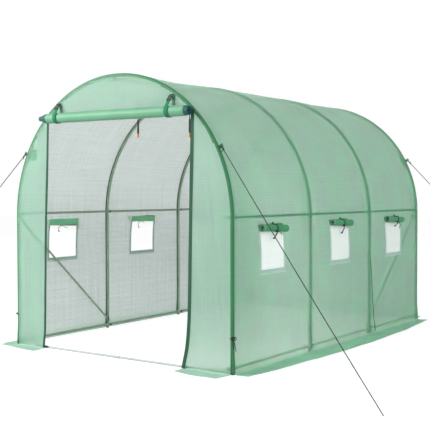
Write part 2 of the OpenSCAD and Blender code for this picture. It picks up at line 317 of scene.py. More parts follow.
def curve_points(points, steps=6):
    """A smooth run through points, by cubic spans."""
    pts = [Vector(p) for p in points]
    out = []
    for k in range(len(pts) - 1):
        a, b = pts[max(k - 1, 0)], pts[k]
        c, d = pts[k + 1], pts[min(k + 2, len(pts) - 1)]
        for s in range(steps):
            t = s / steps
            square = (2 * a - 5 * b + 4 * c - d) * t * t
            cube = (3 * b - a - 3 * c + d) * t**3
            out.append(0.5 * (2 * b + (c - a) * t + square + cube))
    out.append(pts[-1])
    return out


# Node tools: an output is a pair of a node and the name or number of its socket
def fill(tree, node, values):
    """Sets a node's inputs, each from a value or from an output."""
    for key, value in values.items():
        if isinstance(value, tuple) and isinstance(value[0], bpy.types.Node):
            tree.links.new(value[0].outputs[value[1]], node.inputs[key])
        else:
            node.inputs[key].default_value = value


def add(tree, kind, values=None, **settings):
    node = tree.nodes.new("ShaderNode" + kind)
    for key, value in settings.items():
        setattr(node, key, value)
    fill(tree, node, values or {})
    return node


def calc(tree, operation, *inputs):
    return add(tree, "Math", dict(enumerate(inputs)), operation=operation), 0


def sine(tree, turns):
    return calc(tree, "SINE", calc(tree, "MULTIPLY", turns, 2 * math.pi))


def ramp(tree, source, low, high, start=0.3, stop=0.7):
    node = add(tree, "ValToRGB", {"Fac": source})
    for element, place, colour in zip(node.color_ramp.elements, (start, stop), (low, high)):
        element.position = place
        element.color = (*colour, 1)
    return node, "Color"


def span(tree, source, low, high):
    return add(tree, "MapRange", {"Value": source, "To Min": low, "To Max": high}), 0


def bumped(tree, height, strength, distance):
    return add(tree, "Bump", {"Height": height, "Strength": strength, "Distance": distance}), "Normal"


def principled(tree, colour, rough, specular, **more):
    values = {"Base Color": colour, "Roughness": rough, "Specular IOR Level": specular, **more}
    return add(tree, "BsdfPrincipled", values), 0


def mixed(tree, share, first, second):
    return add(tree, "MixShader", {"Fac": share, 1: first, 2: second}), 0


def group(name, inputs, outputs):
    tree = bpy.data.node_groups.new(name, "ShaderNodeTree")
    for label, kind, value in inputs:
        socket = tree.interface.new_socket(name=label, in_out="INPUT", socket_type="NodeSocket" + kind)
        if value is not None:
            socket.default_value = value
    for label in outputs:
        tree.interface.new_socket(name=label, in_out="OUTPUT", socket_type="NodeSocketFloat")
    return tree, tree.nodes.new("NodeGroupInput"), tree.nodes.new("NodeGroupOutput")


def mapped(tree, which, **values):
    """A pattern group laid out by the piece's own map."""
    spot = add(tree, "TexCoord")
    return add(tree, "Group", {"Map": (spot, "UV"), **values}, node_tree=which)


def blank(name):
    material = bpy.data.materials.new(name)
    material.use_nodes = True
    tree = material.node_tree
    tree.nodes.clear()
    return material, tree, tree.nodes.new("ShaderNodeOutputMaterial")


# Patterns
def woven_group():
    """Flat tapes woven into a film: the lines of the weave, cloudy tone and a height."""
    inputs = [("Map", "Vector", None), ("Across", "Float", 80.0), ("Along", "Float", 95.0)]
    tree, inp, out = group("woven_tapes", inputs, ["Lines", "Cloud", "Height"])
    split = add(tree, "SeparateXYZ", {0: (inp, "Map")})
    waves, lines = [], []
    for axis, pitch, stretch in (("X", "Across", (46.0, 1.6, 1.0)), ("Y", "Along", (1.6, 60.0, 1.0))):
        turns = calc(tree, "MULTIPLY", (split, axis), (inp, pitch))
        wave = calc(tree, "MULTIPLY_ADD", sine(tree, turns), 0.5, 0.5)
        place = add(tree, "Mapping", {"Vector": (inp, "Map"), "Scale": stretch})
        streak = add(tree, "TexNoise", {"Vector": (place, 0), "Scale": 1.0, "Detail": 2.0, "Roughness": 0.6})
        waves.append(wave)
        lines.append(calc(tree, "MULTIPLY", wave, (streak, "Fac")))
    cloud = add(tree, "TexNoise", {"Vector": (inp, "Map"), "Scale": 5.0, "Detail": 5.0, "Roughness": 0.65})
    fill(tree, out, {"Lines": calc(tree, "ADD", *lines), "Height": calc(tree, "ADD", *waves)})
    fill(tree, out, {"Cloud": (cloud, "Fac")})
    return tree


def worn_group():
    """Fine speckle and broad blotches of a moulded or painted skin."""
    inputs = [("Fine", "Float", 400.0), ("Broad", "Float", 12.0)]
    tree, inp, out = group("worn_skin", inputs, ["Speckle", "Blotch"])
    spot = add(tree, "TexCoord")
    for pitch, result, detail in (("Fine", "Speckle", 2.0), ("Broad", "Blotch", 6.0)):
        values = {"Vector": (spot, "Object"), "Scale": (inp, pitch), "Detail": detail, "Roughness": 0.6}
        chance = add(tree, "TexNoise", values)
        fill(tree, out, {result: (chance, "Fac")})
    return tree


def braid_group():
    """Strands laid over each other along a cord or a webbing, by its map."""
    inputs = [("Map", "Vector", None), ("Strands", "Float", 4.0), ("Pitch", "Float", 180.0)]
    tree, inp, out = group("braid", inputs, ["Strand"])
    split = add(tree, "SeparateXYZ", {0: (inp, "Map")})
    across = calc(tree, "MULTIPLY", (split, "X"), (inp, "Strands"))
    along = calc(tree, "MULTIPLY", (split, "Y"), (inp, "Pitch"))
    waves = [sine(tree, calc(tree, sign, along, across)) for sign in ("ADD", "SUBTRACT")]
    high = calc(tree, "MAXIMUM", *waves)
    fill(tree, out, {"Strand": calc(tree, "MULTIPLY_ADD", high, 0.5, 0.5)})
    return tree


WOVEN = woven_group()
WORN = worn_group()
BRAID = braid_group()

# Materials
BACK_TONE = (0.33, 0.48, 0.435)  # the outer skin of the film as its back shows


def film_outside(name, dark, light, solid, frost, spread, tint=(0.90, 0.98, 0.94)):
    """Woven film from outside: green tapes over frosted film, which spreads what it lets through."""
    material, tree, out = blank(name)
    weave = mapped(tree, WOVEN)
    lines = (weave, "Lines")
    tone = ramp(tree, (weave, "Cloud"), dark, light, 0.38, 0.62)
    side = add(tree, "NewGeometry")
    faced = add(tree, "MixRGB", {"Fac": (side, "Backfacing"), "Color1": tone, "Color2": (*BACK_TONE, 1)})
    cover = solid / (1 - frost - spread)
    alpha = span(tree, lines, cover - 0.25, cover + 0.25)
    normal = bumped(tree, (weave, "Height"), 0.25, 0.0006)
    skin = principled(tree, (faced, "Color"), 0.5, 0.15, Alpha=alpha, Normal=normal)
    glow = add(tree, "BsdfTranslucent", {"Color": (*tint, 1)})
    pale = ramp(tree, lines, [t * 0.80 for t in tint], [min(1.0, t * 1.06) for t in tint], 0.2, 0.8)
    milky = principled(tree, pale, 0.70, 0.1, **{"IOR": 1.06, "Transmission Weight": 1.0})
    first = mixed(tree, spread / (1 - frost), skin, (glow, 0))
    fill(tree, out, {"Surface": mixed(tree, frost, first, milky)})
    return material


def film_inside(name, veil):
    """The film's inner face: a pale haze over what comes through."""
    material, tree, out = blank(name)
    weave = mapped(tree, WOVEN)
    tone = ramp(tree, (weave, "Cloud"), (0.46, 0.50, 0.50), (0.60, 0.64, 0.64))
    alpha = span(tree, (weave, "Lines"), veil - 0.16, veil + 0.16)
    fill(tree, out, {"Surface": principled(tree, tone, 0.6, 0.2, Alpha=alpha)})
    return material


def opaque_film(name, dark, light):
    """Opaque film: film wound or sewn in several layers, and the strips of painted shade and painted light;
    no light comes through.
    """
    material, tree, out = blank(name)
    weave = mapped(tree, WOVEN)
    tone = ramp(tree, (weave, "Cloud"), dark, light)
    shade = span(tree, (weave, "Lines"), 0.0, 0.5)
    lined = add(tree, "MixRGB", {"Fac": shade, "Color1": tone, "Color2": (*light, 1)})
    normal = bumped(tree, (weave, "Height"), 0.3, 0.0006)
    fill(tree, out, {"Surface": principled(tree, (lined, "Color"), 0.5, 0.3, Normal=normal)})
    return material


def net_face(name, dark, light, cover, outer):
    """One face of the fine net: pale threads with daylight between them."""
    material, tree, out = blank(name)
    weave = mapped(tree, WOVEN, Across=70.0, Along=120.0)
    lines = (weave, "Lines")
    alpha = span(tree, lines, *cover)
    if outer:
        side = add(tree, "NewGeometry")
        alpha = calc(tree, "MULTIPLY", alpha, calc(tree, "MULTIPLY_ADD", (side, "Backfacing"), -0.88, 1.0))
    face = principled(tree, ramp(tree, lines, dark, light, 0.2, 0.8), 0.6, 0.2, Alpha=alpha)
    if outer:
        glow = add(tree, "BsdfTranslucent", {"Color": (1, 1, 1, 1)})
        face = mixed(tree, 0.10, face, (glow, 0))
    fill(tree, out, {"Surface": face})
    return material


def coated(name, dark, light, rough):
    """Paint, zinc or moulded plastic with speckle, blotches and uneven gloss."""
    material, tree, out = blank(name)
    worn = add(tree, "Group", node_tree=WORN)
    blotch = (worn, "Blotch")
    normal = bumped(tree, (worn, "Speckle"), 0.2, 0.0002)
    skin = principled(tree, ramp(tree, blotch, dark, light), span(tree, blotch, *rough), 0.5, Normal=normal)
    fill(tree, out, {"Surface": skin})
    return material


def braided(name, dark, light, strands, pitch, rough=0.75):
    """Cord or webbing, by its strands."""
    material, tree, out = blank(name)
    strand = (mapped(tree, BRAID, Strands=strands, Pitch=pitch), "Strand")
    tone = ramp(tree, strand, dark, light, 0.1, 0.9)
    normal = bumped(tree, strand, 0.5, 0.0005)
    fill(tree, out, {"Surface": principled(tree, tone, rough, 0.3, Normal=normal)})
    return material


film = film_outside(
    "green_film", (0.090, 0.385, 0.190), (0.042, 0.495, 0.162), 0.45, 0.42, 0.08, (0.92, 0.98, 0.95)
)
# the front's film: paler than the walls', as painted light for the front light falling on the end panels
end_film = film_outside(
    "end_film", (0.120, 0.39, 0.225), (0.075, 0.47, 0.20), 0.34, 0.48, 0.14, (0.98, 1.0, 0.99)
)
# the rear's film: greener and more solid than the front's, as painted light for the lamp light that doesn't
# reach the rear
rear_end_film = film_outside(
    "rear_end_film", (0.120, 0.43, 0.225), (0.070, 0.54, 0.192), 0.42, 0.42, 0.14, (0.86, 0.99, 0.92)
)
tape_film = film_outside(
    "window_tape", (0.52, 0.74, 0.63), (0.62, 0.82, 0.72), 0.60, 0.02, 0.36, (0.92, 0.99, 0.96)
)
skirt_film = film_outside("skirt_film", (0.20, 0.56, 0.34), (0.26, 0.64, 0.40), 0.80, 0.08, 0.10)
end_skirt = film_outside("end_skirt", (0.29, 0.53, 0.395), (0.36, 0.60, 0.46), 0.78, 0.08, 0.10)
film_back = film_inside("film_inner_face", 0.28)
# dark strips under the film: painted shade where it lies on the middle hoops and hip rails
painted_tube_shade_film = opaque_film("painted_tube_shade_band", (0.003, 0.075, 0.027), (0.008, 0.105, 0.040))
# strips at the windows' heads, light green as painted light coming through the rolled flaps
window_hem_painted_light = opaque_film("window_hem_painted_light", (0.15, 0.46, 0.24), (0.20, 0.56, 0.30))
# film doubled at the seams round the end hoops, its dark green partly painted shade of the tubes under it;
# also the painted shade of the wall fold's crease
seam_film_painted_shade = opaque_film("seam_film_painted_shade", (0.022, 0.145, 0.057), (0.036, 0.195, 0.078))
flap_film = opaque_film("rolled_flap_film", (0.022, 0.20, 0.075), (0.04, 0.29, 0.12))
flap_hem = opaque_film("flap_hem", (0.16, 0.42, 0.25), (0.24, 0.52, 0.33))
door_film = opaque_film("rolled_door_film", (0.100, 0.285, 0.165), (0.145, 0.36, 0.215))
door_edge = opaque_film("door_zip_edge", (0.004, 0.055, 0.05), (0.012, 0.095, 0.085))
patch_film = opaque_film("patch_film", (0.05, 0.33, 0.14), (0.08, 0.42, 0.19))
net = net_face("white_net", (0.85, 0.97, 0.92), (0.94, 1.0, 0.97), (0.84, 0.98), True)
net_back = net_face("white_net_inner_face", (0.86, 0.95, 0.92), (0.95, 0.99, 0.97), (0.02, 0.08), False)
dark_webbing = braided("dark_webbing", (0.003, 0.05, 0.028), (0.008, 0.09, 0.05), 260.0, 260.0)
webbing = braided("green_webbing", (0.003, 0.12, 0.05), (0.009, 0.19, 0.088), 260.0, 260.0)
zip_tape = braided("zip_tape", (0.009, 0.055, 0.026), (0.019, 0.095, 0.046), 60.0, 220.0)
zip_teeth = braided("zip_teeth", (0.004, 0.03, 0.018), (0.012, 0.07, 0.04), 0.0, 330.0, 0.4)
rope = braided("guy_rope", (0.008, 0.010, 0.009), (0.03, 0.034, 0.031), 3.0, 140.0)
black_cord = braided("black_cord", (0.005, 0.007, 0.006), (0.02, 0.025, 0.022), 4.0, 220.0)
paint = coated("green_paint", (0.22, 0.315, 0.215), (0.29, 0.39, 0.27), (0.32, 0.48))
# darker copy of the tube paint: painted shade of the film on the tubes' outward halves
painted_film_shade = coated("green_paint_with_painted_film_shade", (0.012, 0.090, 0.038), (0.024, 0.120, 0.054), (0.5, 0.7))
pale_metal = coated("pale_bar", (0.30, 0.35, 0.32), (0.42, 0.47, 0.44), (0.35, 0.5))
black = coated("black_plastic", (0.006, 0.007, 0.007), (0.014, 0.016, 0.015), (0.35, 0.55))
orange = coated("orange_tip", (0.55, 0.20, 0.02), (0.72, 0.30, 0.05), (0.35, 0.5))
dark_clip = coated("dark_clip", (0.012, 0.05, 0.03), (0.02, 0.075, 0.045), (0.4, 0.6))

# Camera, floor and light
camera_data = bpy.data.cameras.new("camera")
camera_data.sensor_width = 36
camera_data.lens = 72.298
camera_data.clip_end = 200
camera = bpy.data.objects.new("camera", camera_data)
camera.location = (4.059, -5.998, 1.1522)
camera.rotation_euler = [math.radians(a) for a in (88.57, 0.102, 35.408)]
scene.collection.objects.link(camera)
scene.camera = camera
scene.view_settings.view_transform = "Standard"

MILKY_LAYERS = 4.0  # a ray spread by the film counts as this many clear layers
MOST_LAYERS = 2.5
MILKY_SHARE = 0.20


def seen_white(tree, hidden, shown, through_film=True):
    """Mixes two shaders: the second is what camera, mirror and glass rays see."""
    path = add(tree, "LightPath")
    spread = (path, "Is Transmission Ray")
    seen = calc(tree, "MAXIMUM", (path, "Is Camera Ray"), (path, "Is Glossy Ray"))
    if not through_film:
        layers = calc(tree, "ADD", (path, "Transparent Depth"), calc(tree, "MULTIPLY", spread, MILKY_LAYERS))
        seen = calc(tree, "MULTIPLY", seen, calc(tree, "LESS_THAN", layers, MOST_LAYERS))
        spread = calc(tree, "MULTIPLY", spread, MILKY_SHARE)
    return mixed(tree, calc(tree, "MAXIMUM", seen, spread), (hidden, 0), (shown, 0))


world = bpy.data.worlds.new("studio")
scene.world = world
world.use_nodes = True
tree = world.node_tree
tree.nodes.clear()
sky = add(tree, "Background", {"Color": (1, 1, 1, 1), "Strength": 0.63})
white = add(tree, "Background", {"Color": (1, 1, 1, 1), "Strength": 1.0})
add(tree, "OutputWorld", {"Surface": seen_white(tree, sky, white)})

deselect()
bpy.ops.mesh.primitive_plane_add(size=60, location=(0, 0, 0))
floor = settle(named("floor"))
floor_paint, tree, out = blank("floor_white")
lit = add(tree, "BsdfDiffuse", {"Color": (0.64, 0.64, 0.64, 1)})
shine = add(tree, "Emission", {"Color": (1, 1, 1, 1), "Strength": 0.75})
dimmed = add(tree, "BsdfDiffuse", {"Color": (0.36, 0.36, 0.36, 1)})
shown = add(tree, "AddShader", {0: (shine, 0), 1: (dimmed, 0)})
fill(tree, out, {"Surface": seen_white(tree, lit, shown, False)})
floor.data.materials.append(floor_paint)


def soft_lamp(name, place, power):
    lamp = bpy.data.lights.new(name, "AREA")
    lamp.size = 5.0
    lamp.energy = power
    holder = bpy.data.objects.new(name, lamp)
    holder.location = place
    holder.rotation_euler = (Vector((0, 0, 0.9)) - Vector(place)).to_track_quat("-Z", "Y").to_euler()
    scene.collection.objects.link(holder)


soft_lamp("key", (-6.5, -7.6, 5.0), 1330)
soft_lamp("fill", (8.0, -2.0, 3.6), 195)

# Tubes
NECK = ((0.002, 0.95), (0.004, 1.0), (0.002, 1 / 0.95))  # lengths, and how the ring changes over each
NECK_LONG = 0.008
HOOP_JOINT = LEG - 0.06
ARC_STEPS = 14


def ring_at(place, axis, radius, sides=20):
    """Starts a tube: a ring at a place, square to an axis."""
    deselect()
    turn = Vector(axis).to_track_quat("Z", "Y").to_euler()
    bpy.ops.mesh.primitive_circle_add(
        vertices=sides, radius=radius, fill_type="NOTHING", location=place, rotation=turn
    )
    piece = settle(bpy.context.object)
    edit(piece)
    return piece


def draw_out(step):
    bpy.ops.mesh.extrude_region_move(TRANSFORM_OT_translate={"value": tuple(step)})


def neck(way, centre):
    """A narrow ring where one tube is pushed into the next."""
    for step, size in NECK:
        draw_out(way * step)
        centre = centre + way * step
        bpy.ops.transform.resize(value=(size, size, size), center_override=tuple(centre))
    return centre


def end_tube(piece, name, wall):
    leave_edit()
    piece.name = name
    piece.data.name = name
    outward(piece)
    modifier(piece, "SOLIDIFY", thickness=wall, offset=-1.0)
    smooth(piece, 40)
    return piece


def hoop(name, y):
    start = Vector((-HOOP_R, y, 0))
    piece = ring_at(start, UP, TUBE_R)
    draw_out(UP * HOOP_JOINT)
    spot = neck(UP, start + UP * HOOP_JOINT)
    draw_out(UP * (LEG - spot.z))
    arc = {"steps": ARC_STEPS, "angle": -math.pi / 4, "center": (0, y, LEG), "axis": (0, 1, 0)}
    for part in range(4):
        bpy.ops.mesh.spin(**arc, use_normal_flip=False)
        if part < 3:
            bpy.ops.mesh.remove_doubles(threshold=0.000001)
    low = HOOP_JOINT + NECK_LONG
    draw_out(-UP * (LEG - low))
    spot = neck(-UP, Vector((HOOP_R, y, low)))
    draw_out(-UP * spot.z)
    return end_tube(piece, name, TUBE_WALL)


def straight_tube(name, start, stop, radius, wall=TUBE_WALL, joints=()):
    start, stop = Vector(start), Vector(stop)
    run = stop - start
    way = run.normalized()
    piece = ring_at(start, way, radius)
    spot = start
    for joint in joints:
        draw_out(start + run * joint - spot)
        spot = neck(way, start + run * joint)
    draw_out(stop - spot)
    return end_tube(piece, name, wall)


def paint_film_shade(piece, turn):
    """The part of a tube that looks out of the tunnel lies in the film's shade, which is painted on it as the
    darker paint in its second slot.
    """
    for face in piece.data.polygons:
        spot = face.center
        out = Vector((spot.x, 0, max(0.0, spot.z - LEG))).normalized()
        if face.normal.dot(out) > turn:
            face.material_index = 1


HOOP_NAMES = ("front_hoop", "second_hoop", "third_hoop", "rear_hoop")
for name, y in zip(HOOP_NAMES, HOOPS):
    piece = hoop(name, y)
    dressed(piece, "green_tube", paint, painted_film_shade)
    paint_film_shade(piece, -0.25)
    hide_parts(name + "_legs", name + "_arch")

for name, x, z, radius in (
    ("left_hip_rail", -HIP_X, HIP_Z, RAIL_R),
    ("right_hip_rail", HIP_X, HIP_Z, RAIL_R),
    ("left_base_rail", -BASE_X, BASE_Z, BASE_R),
    ("right_base_rail", BASE_X, BASE_Z, BASE_R),
):
    ends = (x, -RAIL_END, z), (x, RAIL_END, z)
    piece = straight_tube(name + "_tube", *ends, radius, joints=RAIL_JOINTS)
    dressed(piece, "green_tube", paint, painted_film_shade)
    if "hip" in name:
        paint_film_shade(piece, -0.7)
    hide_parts(name)

ridge = [Vector((0, y, RIDGE_Z)) for y in (-RAIL_END, HOOPS[1], HOOPS[2], RAIL_END)]
piece = ring_at(ridge[0], (0, 1, 0), RAIL_R)
for start, stop in zip(ridge, ridge[1:]):
    draw_out(stop - start)
end_tube(piece, "ridge_rail_tube", TUBE_WALL)
dressed(piece, "green_tube", paint)
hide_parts("ridge_rail")

for name, x, y_top, y_foot in (
    ("left_front_brace", -RAIL_REACH, HOOPS[0], HOOPS[1]),
    ("right_rear_brace", RAIL_REACH, HOOPS[3], HOOPS[2]),
):
    piece = straight_tube(name + "_tube", (x, y_top, BRACE_TOP), (x, y_foot, BRACE_FOOT), RAIL_R)
    dressed(piece, "green_tube", paint, painted_film_shade)
    paint_film_shade(piece, 0.2)
    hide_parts(name)

for name, y in (("front_ground_bar", -END), ("rear_ground_bar", END)):
    rod = straight_tube(name + "_rod", (-BAR_END, y, BAR_Z), (BAR_END, y, BAR_Z), BAR_R)
    ends = (-SLEEVE_END, y, BAR_Z), (SLEEVE_END, y, BAR_Z)
    sleeve = straight_tube(name + "_sleeve", *ends, SLEEVE_R, SLEEVE_WALL)
    piece = made([rod, sleeve], name + "_tube", "pale_bar", pale_metal)
    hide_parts(name)

# The tunnel's film
WALL_FOOT = ARC + LEG - FOLD - GROUND  # girths from the ridge: wall's foot, skirt's start and hem
TURN_FOOT = WALL_FOOT + FOLD * math.pi / 2
HEM = TURN_FOOT + SKIRT_MID - FOLD
HIP_V = ARC + LEG - HIP_Z
RAIL_GAP = HOOP_R + SKIN - HIP_X - RAIL_R - 0.0004
RIDGE_SAG = tuple(zip(BAYS, (0.012, 0.001, 0.004)))
WALL_SAG = 0.003
FIRM_FOOT = 0.25  # height over which the wall gets firm towards the ground
GRIP_BELOW = 0.14  # how far the hip rail holds the film, below and above it
GRIP_ABOVE = 0.22


def bay_share(y):
    """0 at a hoop, 1 half way between two hoops."""
    t = (y + END) / (2 * END / 3) % 1.0
    return 0.0 if abs(y) >= END else 4 * t * (1 - t)


def hoop_line(v):
    """The hoop's centre line at a girth v from the ridge, and the way outwards there."""
    side = 1.0 if v >= 0 else -1.0
    if abs(v) <= ARC:
        out = Vector((math.sin(v / HOOP_R), 0, math.cos(v / HOOP_R)))
        return Vector((HOOP_R * math.sin(v / HOOP_R), 0, LEG + HOOP_R * math.cos(v / HOOP_R))), out
    return Vector((side * HOOP_R, 0, LEG - (abs(v) - ARC))), Vector((side, 0, 0))


def film_push(y, v):
    """How far the film stands out from its drawn-tight place."""
    share = bay_share(y)
    roof = max(0.0, math.cos(min(abs(v), ARC) / HOOP_R))
    height = max(0.0, min(1.0, (WALL_FOOT - abs(v)) / FIRM_FOOT))
    sag = -(WALL_SAG + between(RIDGE_SAG, y) * roof) * share * height
    off = (abs(v) - HIP_V) / (GRIP_BELOW if abs(v) > HIP_V else GRIP_ABOVE)
    grip = math.exp(-off * off) * soft_step(0.05, 0.42, share)
    loose = min(1.0, share * 1.6) * height * (1 - grip)
    creases = 0.0022 * ripple(y * 5.0, v * 1.7, 1) + 0.0013 * ripple(y * 3.0, v * 9.0, 2)
    fine = 0.0007 * ripple(y * 22.0, v * 6.0, 3)
    return sag * (1 - grip) - RAIL_GAP * grip + loose * (creases + fine)


def wall_flare(z):
    return WALL_FLARE * soft_step(WALL_FLARE_TOP, 0.0, z - FOLD)


def end_flare(z):
    return SKIRT_FLARE * soft_step(SKIRT_FLARE_TOP, 0.0, z - FOLD)


def skirt_turn(v):
    """How far out and up the film stands in its turn from wall to skirt."""
    turn = (v - WALL_FOOT) / FOLD
    return FOLD * (1 - math.cos(turn)), FOLD * (1 - math.sin(turn))


def skirt_share(v):
    return (v - TURN_FOOT) / (HEM - TURN_FOOT)


def skirt_reach(y):
    t = min(1.0, abs(y) / END)
    return SKIRT_END + (SKIRT_MID - SKIRT_END) * (1 - t * t) - FOLD


def hem_height(along, share, seed):
    """A skirt lies on the ground, and its hem lifts a little in waves."""
    wave = 0.5 + 0.5 * ripple(along * 4.2, 0.0, seed)
    fine = 0.5 + 0.5 * ripple(along * 16.0, 3.0, seed)
    return GROUND + share * share * 0.010 * wave * wave + 0.0025 * share * fine


def tunnel_point(u, v):
    """Film at a length u from the middle and a girth v from the ridge."""
    side = 1.0 if v >= 0 else -1.0
    y, stand = u, SKIN
    if abs(u) > END:
        turn = (abs(u) - END) / SKIN
        y = math.copysign(END + SKIN * math.sin(turn), u)
        stand = SKIN * math.cos(turn)
    if abs(v) <= WALL_FOOT:
        spot, way = hoop_line(v)
        return Vector((spot.x, y, spot.z)) + way * (stand + film_push(y, v) + wall_flare(spot.z))
    base = HOOP_R + stand + WALL_FLARE
    if abs(v) <= TURN_FOOT:
        out, rise = skirt_turn(abs(v))
        return Vector((side * (base + out), y, GROUND + rise))
    share = skirt_share(abs(v))
    reach = skirt_reach(y) * share + 0.006 * share * ripple(y * 2.6, 1.0, 5 + side)
    return Vector((side * (base + FOLD + reach), y, hem_height(y, share, 6 + side)))


window_keys = [bay + off for bay in WINDOWS for off in (-WIN_HALF, 0.0, WIN_HALF)]
WIN_V = (ARC + LEG - WIN_TOP, ARC + LEG - WIN_LOW)
along = evenly(-END - ROUND, -END, 5)[:-1]
along += spaced(sorted([*HOOPS, *window_keys]), 0.021)
along += evenly(END, END + ROUND, 5)[1:]
half = spaced([0.0, CORNER, HIP_V - 0.012, HIP_V, ARC, *WIN_V, WALL_FOOT], 0.024)
half += evenly(WALL_FOOT, TURN_FOOT, 5)[1:]
half += evenly(TURN_FOOT, HEM, 8)[1:]
girth = [-v for v in reversed(half[1:])] + half


def tunnel_hole(u, v):
    if abs(u) > END and abs(v) > WALL_FOOT:
        return True
    in_window = WIN_V[0] < abs(v) < WIN_V[1]
    return in_window and any(abs(u - bay) < WIN_HALF for bay in WINDOWS)


def tunnel_out(spot):
    if spot.z > LEG:
        return Vector((spot.x, 0, spot.z - LEG))
    return Vector((math.copysign(1, spot.x), 0, 0.4))


def finish_film(piece, at_seam):
    """The skirt's finish on the ground, and the seam's where the film goes round an end hoop: a real seam
    whose dark green is partly painted shade of the tube under it.
    """
    for face in piece.data.polygons:
        if face.material_index:
            continue
        if face.center.z < FOLD * 0.8:
            face.material_index = 2
        elif at_seam(face.center):
            face.material_index = 3


tunnel = net_of_threads("tunnel_film", along, girth, tunnel_point)
cut_away(tunnel, tunnel_hole)
dressed(tunnel, "film", film, film_back, skirt_film, seam_film_painted_shade)
thicken(tunnel, FILM, tunnel_out)
finish_film(tunnel, lambda c: abs(c.y) > END - 0.003)
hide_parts("roof_cover", "left_wall_cover", "right_wall_cover", "left_skirt", "right_skirt")

# Dark strips under the film on the two middle hoops and the hip rails: painted shade where the film lies on
# the tubes
BAND_HALF = 0.0095
STRIP_HALF = 0.0065
BAND_SINK = 0.0004
BAND_THICK = 0.0003
bands = []


def under_film(u, v):
    return tunnel_point(u, v) - hoop_line(v)[1] * BAND_SINK


for y in HOOPS[1:3]:
    round_hoop = [v for v in girth if abs(v) <= WALL_FOOT]

    def band_point(u, v):
        narrow = 0.55 + 0.45 * soft_step(0.3 * ARC, ARC, abs(v))
        return under_film(y + (u - y) * narrow, v)

    bands.append(net_of_threads("band_part", evenly(y - BAND_HALF, y + BAND_HALF, 4), round_hoop, band_point))
for side, _ in SIDES:
    across = evenly(side * (HIP_V - STRIP_HALF), side * (HIP_V + STRIP_HALF), 4)
    rail_run = [u for u in along if abs(u) <= END]
    bands.append(net_of_threads("band_part", across, rail_run, lambda v, u: under_film(u, v)))
bands = made(bands, "painted_tube_shade_bands", "film", painted_tube_shade_film)
modifier(bands, "SOLIDIFY", thickness=BAND_THICK, offset=0.0)

# The two ends' film
END_SEAM = 0.0065
CREASE_X = 0.815  # one long crease on the right front panel, at the height CREASE_Z
CREASE_Z = 1.13
CREASE_LEAN = 0.106
CREASE_WIDE = 0.014
CREASE_HIGH = 0.0045


def at_hoop(spot):
    return math.hypot(spot.x, max(0.0, spot.z - LEG)) > HOOP_R - END_SEAM


def front_push(x, z):
    """Folds of the front panels, deepest beside the doorway, with one long crease on the right."""
    if z > DOOR_TOP:
        spread = max(0.0, 1 - (x / 0.70) ** 2)
        return spread * (0.004 * ripple(x * 4.0, z * 2.0, 11) + 0.0012 * ripple(x * 17.0, z * 5, 12))
    inner = soft_step(0.985, 0.80, abs(x)) * soft_step(1.7, 1.2, z)
    off = (x - CREASE_X - CREASE_LEAN * (CREASE_Z - z)) / CREASE_WIDE
    crease = CREASE_HIGH * math.exp(-off * off) * soft_step(1.35, 1.1, z) * soft_step(0.2, 0.45, z)
    return crease + inner * (0.009 * ripple(x * 9.0, z * 1.1, 13) + 0.002 * ripple(x * 30.0, z * 4.0, 14))


PANEL_WIDE = 0.38
HEAD_WIDE = 0.27


def side_panel(name, side, jamb, hem):
    """Panel beside the doorway, from the hoop to the zip, with its skirt on the ground."""
    rows = [v for v in half if v >= CORNER - 0.0001]
    columns = [0.0, 0.02] + [k / 32 for k in range(2, 33)]

    def place(s, v):
        t = s / PANEL_WIDE
        corner = soft_step(0.0, 0.2, t)
        if v <= WALL_FOOT:
            spot = hoop_line(side * v)[0]
            x = spot.x + (between(jamb, spot.z) - spot.x) * t
            push = front_push(x, spot.z) * min(1.0, 6 * t)
            return Vector((x, FRONT - push - end_flare(spot.z) * corner, spot.z))
        hoop_x = side * HOOP_R
        foot = Vector((hoop_x + (jamb[0][1] - hoop_x) * t, FRONT - SKIRT_FLARE * corner, GROUND))
        if v <= TURN_FOOT:
            out, rise = skirt_turn(v)
            return foot + Vector((0, -out, rise))
        share = skirt_share(v)
        spot = (foot + Vector((0, -FOLD, 0))).lerp(between(hem, t), share)
        spot.z = hem_height(spot.x, share, 9 + side)
        return spot

    return net_of_threads(name, [c * PANEL_WIDE for c in columns], rows, place)


def top_panel(name):
    """Half-moon over the doorway."""
    rows = [v for v in girth if abs(v) <= CORNER + 0.0001]
    columns = [0.0, 0.02] + [k / 16 for k in range(1, 17)]

    def place(s, v):
        spot = hoop_line(v)[0]
        t = s / HEAD_WIDE
        low_x = spot.x * (0.679 if spot.x > 0 else 0.660) / 0.6811
        x = spot.x + (low_x - spot.x) * t
        z = spot.z + (DOOR_TOP - spot.z) * t
        return Vector((x, FRONT - front_push(x, max(z, DOOR_TOP + 0.001)) * min(1.0, 5 * t), z))

    return net_of_threads(name, [c * HEAD_WIDE for c in columns], rows, place)


def hem_line(*spots):
    """A hem on the ground, as a table of (share of the panel, place)."""
    return [(share, Vector((x, y, GROUND))) for share, x, y in spots]


left_hem = hem_line((0.0, -1.090, -1.582), (0.5, -0.880, -1.622), (1.0, -0.664, -1.648))
right_hem = hem_line((0.0, 0.971, -1.652), (0.55, 0.771, -1.656), (1.0, 0.620, -1.630))
left_panel = side_panel("front_left_part", -1, JAMB_LEFT, left_hem)
right_panel = side_panel("front_right_part", 1, JAMB_RIGHT, right_hem)
head_panel = top_panel("front_top_part")
panels = [left_panel, right_panel, head_panel]
front = made(panels, "front_film", "film", end_film, film_back, end_skirt, seam_film_painted_shade)
outward(front)
thicken(front, FILM, lambda c: Vector((0, -1, 0.4)))
finish_film(front, at_hoop)
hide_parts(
    "front_left_panel",
    "front_right_panel",
    "front_top_panel",
    "front_left_skirt",
    "front_right_skirt",
)


